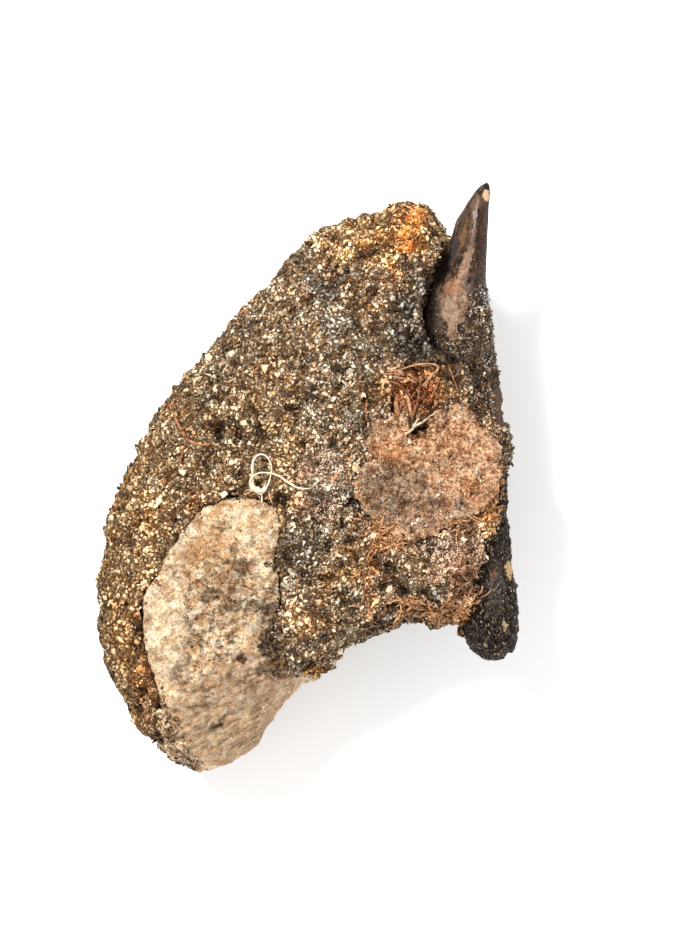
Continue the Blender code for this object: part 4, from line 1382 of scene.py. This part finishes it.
# Grains that cling to a piece inside an outline: name, the piece, the outline, stuff, tint, brightness,
# spacing and radius.
COATS = [
    ("crown", "tooth", CROWN_COAT, SAND, CROWN_SAND, 0.33, 0.22, 0.17),
    ("flank", "tooth", FLANK_COAT, SAND, CROWN_SAND, 0.38, 0.24, 0.18),
    ("root", "tooth", ROOT_COAT, SAND, PLAIN_SAND, 0.42, 0.28, 0.20),
    ("pits", "tooth", ROOT_SPECKS, SAND, SOOT, 0.38, 0.40, 0.085),
    ("wedge", "clast", WEDGE_COAT, SAND, DARK_SAND, 0.34, 0.25, 0.16),
    ("tip", "clast", TIP_COAT, SAND, TIP_SAND, 0.36, 0.20, 0.18),
    ("pink", "stone", PINK_PATCH, CLAY, ROSY_CLAY, 0.59, 0.19, 0.14),
    ("rosy", "stone", ROSY_PATCH, CLAY, GREY_CLAY, 0.60, 0.18, 0.14),
    ("edge", "stone", CRUMB_EDGE, SAND, GOLD_SAND, 0.38, 0.34, 0.19),
    ("orange", "stone", ORANGE_PATCH, CLAY, ORANGE_CLAY, 0.52, 0.17, 0.15),
    ("foot", "tooth", CROWN_FOOT, SAND, FOOT_GRIT, 0.54, 0.22, 0.10),
    ("mat", "stone", MAT_PATCH, CLAY, BURNT_CLAY, 0.42, 0.26, 0.14),
]
# Single large grains: pixel, radius, brightness and tint.
LARGE_GRAINS = [
    (390, 590, 0.42, 0.66, (1.0, 0.98, 0.92)), (390, 601, 0.38, 0.64, (1.0, 0.98, 0.90)),
    (356, 467, 0.44, 0.80, (1.15, 0.98, 0.66)), (334, 477, 0.52, 0.60, (1.2, 0.56, 0.34)),
    (298, 300, 0.32, 0.92, (1.0, 1.0, 1.0)), (360, 312, 0.24, 0.96, (1.0, 1.0, 1.0)),
    (476, 390, 0.26, 0.92, (1.0, 0.98, 0.92)), (376, 410, 0.50, 0.24, (0.85, 0.90, 0.94)),
]


def crumble(key, stuff, spacing, radius, stains, around):
    """Fine crumbs on a piece, and thinning out around it on the sandstone."""
    places, normals = spread(key, spacing)
    kept = (normals[:, 2] > CRUMB_FACING) & (rng.random(len(places)) < CRUMB_SHARE)
    beyond, facing = spread("stone", spacing)
    hits = [TREES[key].find_nearest(Vector(place), around)[3] for place in beyond]
    away = np.array([around if hit is None else hit for hit in hits])
    near = (rng.random(len(beyond)) > (away / around) ** AROUND_FADE) & (facing[:, 2] > AROUND_FACING)
    near &= bare(beyond, facing, [key], CRUMB_HIDDEN_UNDER)
    places = np.concatenate([places[kept], beyond[near]])
    normals = np.concatenate([normals[kept], facing[near]])
    tints = stain_tints(places, rng.random(len(places)), stains, FINE_EDGE)
    lay_grains(f"crumbs_on_{key}", stuff, places, normals, radius=radius,
               sunk=0.6, proud=0.4, brightness=0.48, contrast=0.62, tints=tints)


def coat(name, on, outline, stuff, tint, brightness, spacing, radius):
    """Grains that cling to a piece inside an outline whose edge is ragged, and chips among larger ones."""
    places, normals = spread(on, spacing)
    kept = inside(*strayed(places, COAT_EDGE, 7.0), outline)
    kept &= normals[:, 2] > (TOOTH_COAT_FACING if on == "tooth" else 0.0)
    if on != "stone":
        kept &= bare(places, normals, ["stone"], COAT_HIDDEN_UNDER)
    places, normals = places[kept], normals[kept]
    stains = {} if stuff is CLAY else SAND_STAINS
    tints = stain_tints(places, rng.random(len(places)), stains) * np.array(tint)
    lay_grains(f"coat_{name}", stuff, places, normals, radius=radius,
               brightness=brightness, contrast=0.8, tints=tints)
    if radius > COAT_CHIP_RADIUS:
        some = rng.random(len(places)) < COAT_CHIP_SHARE
        lay_grains(f"coat_{name}_chips", stuff, places[some], normals[some], form=chip_form,
                   radius=COAT_CHIP_RADIUS, sunk=0.0, proud=1.4, brightness=brightness + COAT_CHIP_LIGHT,
                   tints=tints[some])


def large_grains():
    """Grains that stand out by their size and colour, each on what carries it."""
    found = [under_pixel(*row[:2]) for row in LARGE_GRAINS]
    places, normals = (np.array([tuple(hit[i]) for hit in found]) for i in (0, 1))
    radii, brightness = np.array([row[2:4] for row in LARGE_GRAINS]).T
    tints = np.array([row[4] for row in LARGE_GRAINS])
    lay_grains("large_grains", SAND, places, normals, radius=radii,
               sunk=0.0, proud=0.5, brightness=brightness, contrast=0.1, tints=tints)


crumble("crust", CLAY, spacing=0.29, radius=0.14, stains=CRUST_STAINS, around=2.4)
crumble("clast", CHALK, spacing=0.42, radius=0.10, stains=CLAST_STAINS, around=1.1)
for row in COATS:
    coat(*row)
large_grains()


# ---------------------------------------------------------------- rootlets and fibres

# How a short fibre runs: its steps in pixels, how far it turns from its line, its curl and its lift.
FIBRE_STEP_PX = 2.5
FIBRE_WANDER = 0.45
FIBRE_CURL = 0.17
FIBRE_LIFT = (-0.08, 0.18)
FEWEST_STEPS = 3
FIBRE_LENGTHS = (0.5, 1.4)
FIBRE_WIDTHS = (0.6, 1.6)
# How a strand is laid: steps in pixels, the fewest points, and how its last points sink.
DRAPE_STEP_PX = 2.0
FEWEST_POINTS = 4
SUNK_POINTS = 2
END_SINK = 0.25
# How thick a strand is at its tips, and how knotty along it.
TIP_WIDTH = 0.25
TAPER = 6
KNOTS = 0.22
KNOT_SPAN = 5
KNOT_EASE = 2.2
KNOT_LIMITS = (0.6, 1.5)

# Strands: pixels, thickness and lift.
TWIG = [
    ([(167, 400), (171, 408), (176, 419), (182, 431), (188, 440), (196, 446)], 0.34, 0.14),
    ([(186, 438), (194, 443), (203, 445), (213, 443)], 0.28, 0.10),
    ([(186, 440), (184, 449), (181, 458), (180, 468)], 0.24, 0.05),
]
ROOTLETS = [
    ([(384, 372), (391, 371), (399, 370), (411, 366), (422, 364), (432, 364), (438, 367), (435, 373),
      (425, 378)], 0.20, 0.30),
    ([(423, 372), (421, 380), (419, 392), (417, 404), (413, 414), (411, 422)], 0.30, 0.50),
    ([(388, 381), (398, 384), (406, 391), (411, 397), (414, 402)], 0.30, 0.40),
    ([(447, 362), (451, 372), (455, 382), (459, 394)], 0.20, 0.25),
    ([(367, 397), (366, 414), (368, 425)], 0.20, 0.20),
    ([(397, 394), (396, 402), (397, 410), (399, 417)], 0.44, 0.15),
    ([(404, 392), (408, 398), (409, 404), (412, 416)], 0.34, 0.15),
    ([(435, 370), (428, 380), (421, 388)], 0.22, 0.40),
    ([(392, 376), (400, 378), (410, 380), (418, 384)], 0.22, 0.35),
    ([(376, 446), (390, 441), (404, 436)], 0.16, 0.20),
    ([(441, 375), (437, 385), (432, 396), (431, 405)], 0.22, 0.25),
]
STRAW = [
    ([(404, 437), (409, 432), (414.5, 427), (424, 421), (432, 415), (438.6, 411)], 0.15, 0.50),
    ([(411, 429), (415, 424), (418, 419), (420, 418)], 0.20, 0.60),
    ([(412, 429), (418, 424.5), (425, 422)], 0.22, 0.60),
    ([(405, 436), (409, 432), (415, 427)], 0.20, 0.40),
    ([(410, 427), (417, 425), (421, 421)], 0.14, 0.65),
]
WHITE_FIBRE = [
    ([(249, 492), (254, 490), (252.5, 478), (252.5, 466), (254, 459), (259, 454.5), (266, 456),
      (271, 464.5), (270.5, 476), (267.5, 486), (262.5, 494)], 0.20, 0.75),
    ([(315.5, 483), (311, 488), (299, 488), (289, 483), (279, 476), (269, 473), (259, 473), (251.5, 478),
      (250, 484), (254, 489), (262.5, 494)], 0.18, 0.9),
    ([(249, 492), (253, 489), (258, 488), (262, 493)], 0.26, 0.5),
    ([(251, 484), (255, 490), (261, 492), (266, 488)], 0.28, 0.6),
    ([(250, 478), (252, 486), (257, 490), (263, 489), (266, 482)], 0.24, 0.8),
    ([(253, 474), (251, 481), (255, 487), (260, 491)], 0.24, 0.7),
    ([(252, 480), (250, 486), (255, 491), (261, 493)], 0.26, 0.6),
    ([(254, 485), (258, 491), (264, 491), (268, 484)], 0.26, 0.8),
    ([(256, 482), (253, 488), (259, 494), (266, 492)], 0.22, 0.5),
    ([(261.6, 492), (261.8, 498), (261.6, 504)], 0.12, 0.25),
    ([(268, 490), (270, 497), (273, 506)], 0.12, 0.25),
    ([(255, 487), (250, 489), (243, 492)], 0.13, 0.25),
    ([(252, 464), (251, 470), (255, 476)], 0.13, 0.5),
    ([(311, 488), (316, 484), (319, 478)], 0.10, 0.4),
]
# Mats of short fibres along a line: pixels, spread, count, length and thickness.
MATS = [
    ([(371, 524), (380, 531), (388, 541), (392, 546), (409, 544)], 3.6, 90, 16, 0.13),
    ([(376, 522), (369, 551), (363, 571), (365, 590), (366, 604), (364, 631)], 2.2, 70, 18, 0.12),
    ([(447, 527), (462, 524), (480, 522), (492, 512)], 3.0, 50, 16, 0.12),
    ([(402, 602), (423, 606), (437, 612), (450, 604), (470, 600), (479, 597)], 2.4, 80, 16, 0.14),
    ([(428, 616), (440, 618), (459, 612), (462, 600)], 3.6, 130, 10, 0.15),
    ([(406, 604), (404, 614), (398, 622), (390, 626)], 1.8, 24, 16, 0.13),
    ([(497, 485), (498, 505), (494, 522), (484, 534)], 3.2, 36, 11, 0.11),
    ([(384, 370), (400, 371), (420, 368), (436, 369)], 2.6, 22, 12, 0.10),
    ([(392, 384), (404, 394), (412, 408), (414, 420)], 4.0, 14, 9, 0.10),
    ([(402, 440), (418, 446), (430, 440)], 3.0, 14, 10, 0.10),
]


def spline(points, step):
    """Points at even steps along a smooth line through these points."""
    points = [Vector(point) for point in points]
    ends = [2 * points[0] - points[1]] + points + [2 * points[-1] - points[-2]]
    line = []
    for a, b, c, d in zip(ends, ends[1:], ends[2:], ends[3:]):
        count = max(int((c - b).length / step), 1)
        for i in range(count):
            t = i / count
            line.append(0.5 * (2 * b + (c - a) * t + (2 * a - 5 * b + 4 * c - d) * t ** 2
                               + (3 * b - a - 3 * c + d) * t ** 3))
    return line + [points[-1]]


def windows(values):
    """Each value with up to two neighbours on either side."""
    return [values[max(i - 2, 0):i + 3] for i in range(len(values))]


def draped(pixels, lift):
    """A line over the surface under these pixels, held off it by a lift, its ends sunk into it."""
    found = [(px, py, under_pixel(px, py)[0]) for px, py in spline(pixels, DRAPE_STEP_PX)]
    found = [row for row in found if row[2] is not None]
    if len(found) < FEWEST_POINTS:
        return None
    bridged = [max(near) for near in windows([row[2].z for row in found])]
    eased = [sum(near) / len(near) for near in windows(bridged)]
    points = []
    for i, ((px, py, _), height) in enumerate(zip(found, eased)):
        from_end = min(i, len(found) - 1 - i)
        points.append(plan(px, py, height + lift - END_SINK * max(SUNK_POINTS - from_end, 0)))
    return np.array([tuple(point) for point in points])


def tube(points, radii, sides=6):
    """A tube round a line of points with a radius at each: its points and faces."""
    ahead = np.gradient(points, axis=0)
    ahead /= np.linalg.norm(ahead, axis=1, keepdims=True)
    side = np.cross(ahead, (0.0, 0.0, 1.0))
    side /= np.maximum(np.linalg.norm(side, axis=1, keepdims=True), 1e-6)
    up = np.cross(side, ahead)
    angles = np.arange(sides) * 2 * np.pi / sides
    ring = (side[:, None] * np.cos(angles)[None, :, None] + up[:, None] * np.sin(angles)[None, :, None])
    skin = points[:, None] + ring * np.asarray(radii)[:, None, None]
    places = np.concatenate([skin.reshape(-1, 3), points[:1], points[-1:]])
    faces = []
    last = len(points) - 1
    for i in range(last):
        for k in range(sides):
            a, b = i * sides + k, i * sides + (k + 1) % sides
            faces += [(a, a + sides, b), (b, a + sides, b + sides)]
    first_cap, last_cap = len(places) - 2, len(places) - 1
    for k in range(sides):
        faces.append((first_cap, k, (k + 1) % sides))
        faces.append((last_cap, last * sides + (k + 1) % sides, last * sides + k))
    return places, np.array(faces)


def strands(name, lines, material):
    """One piece made of many tubes, each given as (points, thickness)."""
    places, faces, tones = [], [], []
    start = 0
    for points, thickness in lines:
        if points is None:
            continue
        along = np.linspace(0, 1, len(points))
        taper = np.clip(np.minimum(along, 1 - along) * TAPER, TIP_WIDTH, 1)
        rough = rng.normal(size=len(points) + KNOT_SPAN - 1)
        knots = 1 + KNOTS * np.convolve(rough, np.ones(KNOT_SPAN) / KNOT_EASE, "valid")
        skin, sides = tube(points, thickness / 2 * taper * np.clip(knots, *KNOT_LIMITS))
        places.append(skin)
        faces.append(sides + start)
        tones.append(np.full(len(sides), rng.random()))
        start += len(skin)
    mesh = mesh_of(name, np.concatenate(places), np.concatenate(faces))
    add_layer(mesh, "tone", np.concatenate(tones))
    link(name, mesh, material)


def traced(routes):
    """Lines for strands that follow their own pixels."""
    return [(draped(pixels, lift), thickness) for pixels, thickness, lift in routes]


def tangle(path, stray, count, length_px, thickness):
    """Lines for many short fibres that start along a line of pixels, stray from it and curl."""
    spine = np.array([tuple(point) for point in spline(path, DRAPE_STEP_PX)])
    ahead = np.gradient(spine, axis=0)
    lines = []
    for _ in range(count):
        start = rng.integers(len(spine))
        heading = math.atan2(ahead[start, 1], ahead[start, 0]) + rng.normal(0, FIBRE_WANDER)
        heading += math.pi * rng.integers(2)
        curl = rng.normal(0, FIBRE_CURL)
        here = spine[start] + rng.normal(0, stray, 2)
        pixels = [tuple(here)]
        steps = int(length_px * rng.uniform(*FIBRE_LENGTHS) / FIBRE_STEP_PX)
        for _ in range(max(steps, FEWEST_STEPS)):
            here = here + FIBRE_STEP_PX * np.array([math.cos(heading), math.sin(heading)])
            heading += curl + rng.normal(0, FIBRE_CURL)
            pixels.append(tuple(here))
        lines.append((draped(pixels, rng.uniform(*FIBRE_LIFT)), thickness * rng.uniform(*FIBRE_WIDTHS)))
    return lines


def tangled(mats):
    """Lines for the fibres of all these mats."""
    return [line for mat in mats for line in tangle(*mat)]


strands("twig", traced(TWIG), fibre_paint("twig", (100, 60, 38), (192, 132, 88), 0.3))
strands("rootlets", traced(ROOTLETS), fibre_paint("rootlet", (128, 76, 50), (210, 154, 114), 0.45))
strands("fibre_mats", tangled(MATS), fibre_paint("fibre", (104, 60, 36), (224, 164, 112), 0.4))
strands("straw", traced(STRAW), fibre_paint("straw", (190, 154, 116), (250, 230, 198), 0.0))
strands("white_fibre", traced(WHITE_FIBRE), fibre_paint("white_fibre", (214, 192, 160), (250, 238, 212), 0.0))


# ---------------------------------------------------------------- stage, light and camera

FLOOR_COLOUR = (0.9, 0.9, 0.9, 1.0)
FLOOR_ROUGHNESS = 0.9
FLOOR_GLOW = 0.28
FLOOR_HALF = 1.5
NEAREST_SEEN = 0.01
SKY_STRENGTH = 0.8
WHITE = (1.0, 1.0, 1.0, 1.0)


def stage():
    """A plain pale floor, lit a little from below as a light table is."""
    floor = bpy.data.meshes.new("floor")
    corners = [(x * FLOOR_HALF, y * FLOOR_HALF, 0) for x, y in ((-1, -1), (1, -1), (1, 1), (-1, 1))]
    floor.from_pydata(corners, [], [(0, 1, 2, 3)])
    piece = bpy.data.objects.new("floor", floor)
    bpy.context.scene.collection.objects.link(piece)
    paint = Paint("floor")
    paint.set(Base_Color=FLOOR_COLOUR, Roughness=FLOOR_ROUGHNESS,
              Emission_Color=WHITE, Emission_Strength=FLOOR_GLOW)
    floor.materials.append(paint.material)


def lamp(name, place, size, power):
    """A square soft light that shines on the part's middle."""
    light = bpy.data.lights.new(name, "AREA")
    light.energy = power
    light.size = size
    lit = bpy.data.objects.new(name, light)
    lit.location = place
    lit.rotation_euler = (-Vector(place)).to_track_quat("-Z", "Y").to_euler()
    bpy.context.scene.collection.objects.link(lit)


def light():
    """A soft key from the upper left, a weak fill from the right, and a white sky."""
    lamp("key", place=(-0.42, 0.46, 0.9), size=0.22, power=12.0)
    lamp("fill", place=(0.8, -0.35, 0.6), size=0.8, power=2.0)
    world = bpy.data.worlds.new("sky")
    bpy.context.scene.world = world
    world.use_nodes = True
    sky = world.node_tree.nodes["Background"].inputs
    sky["Color"].default_value = WHITE
    sky["Strength"].default_value = SKY_STRENGTH
    bpy.context.scene.view_settings.view_transform = "Standard"


def camera():
    """A long lens that looks straight down, framed as the photograph is."""
    eye = bpy.data.cameras.new("camera")
    eye.sensor_fit = "VERTICAL"
    eye.sensor_height = SENSOR
    eye.lens = SENSOR * CAMERA_DISTANCE / (IMAGE_HEIGHT * PIXEL)
    eye.clip_start = NEAREST_SEEN
    held = bpy.data.objects.new("camera", eye)
    held.location = CAMERA_PLACE * MM
    bpy.context.scene.collection.objects.link(held)
    bpy.context.scene.camera = held


stage()
light()
camera()
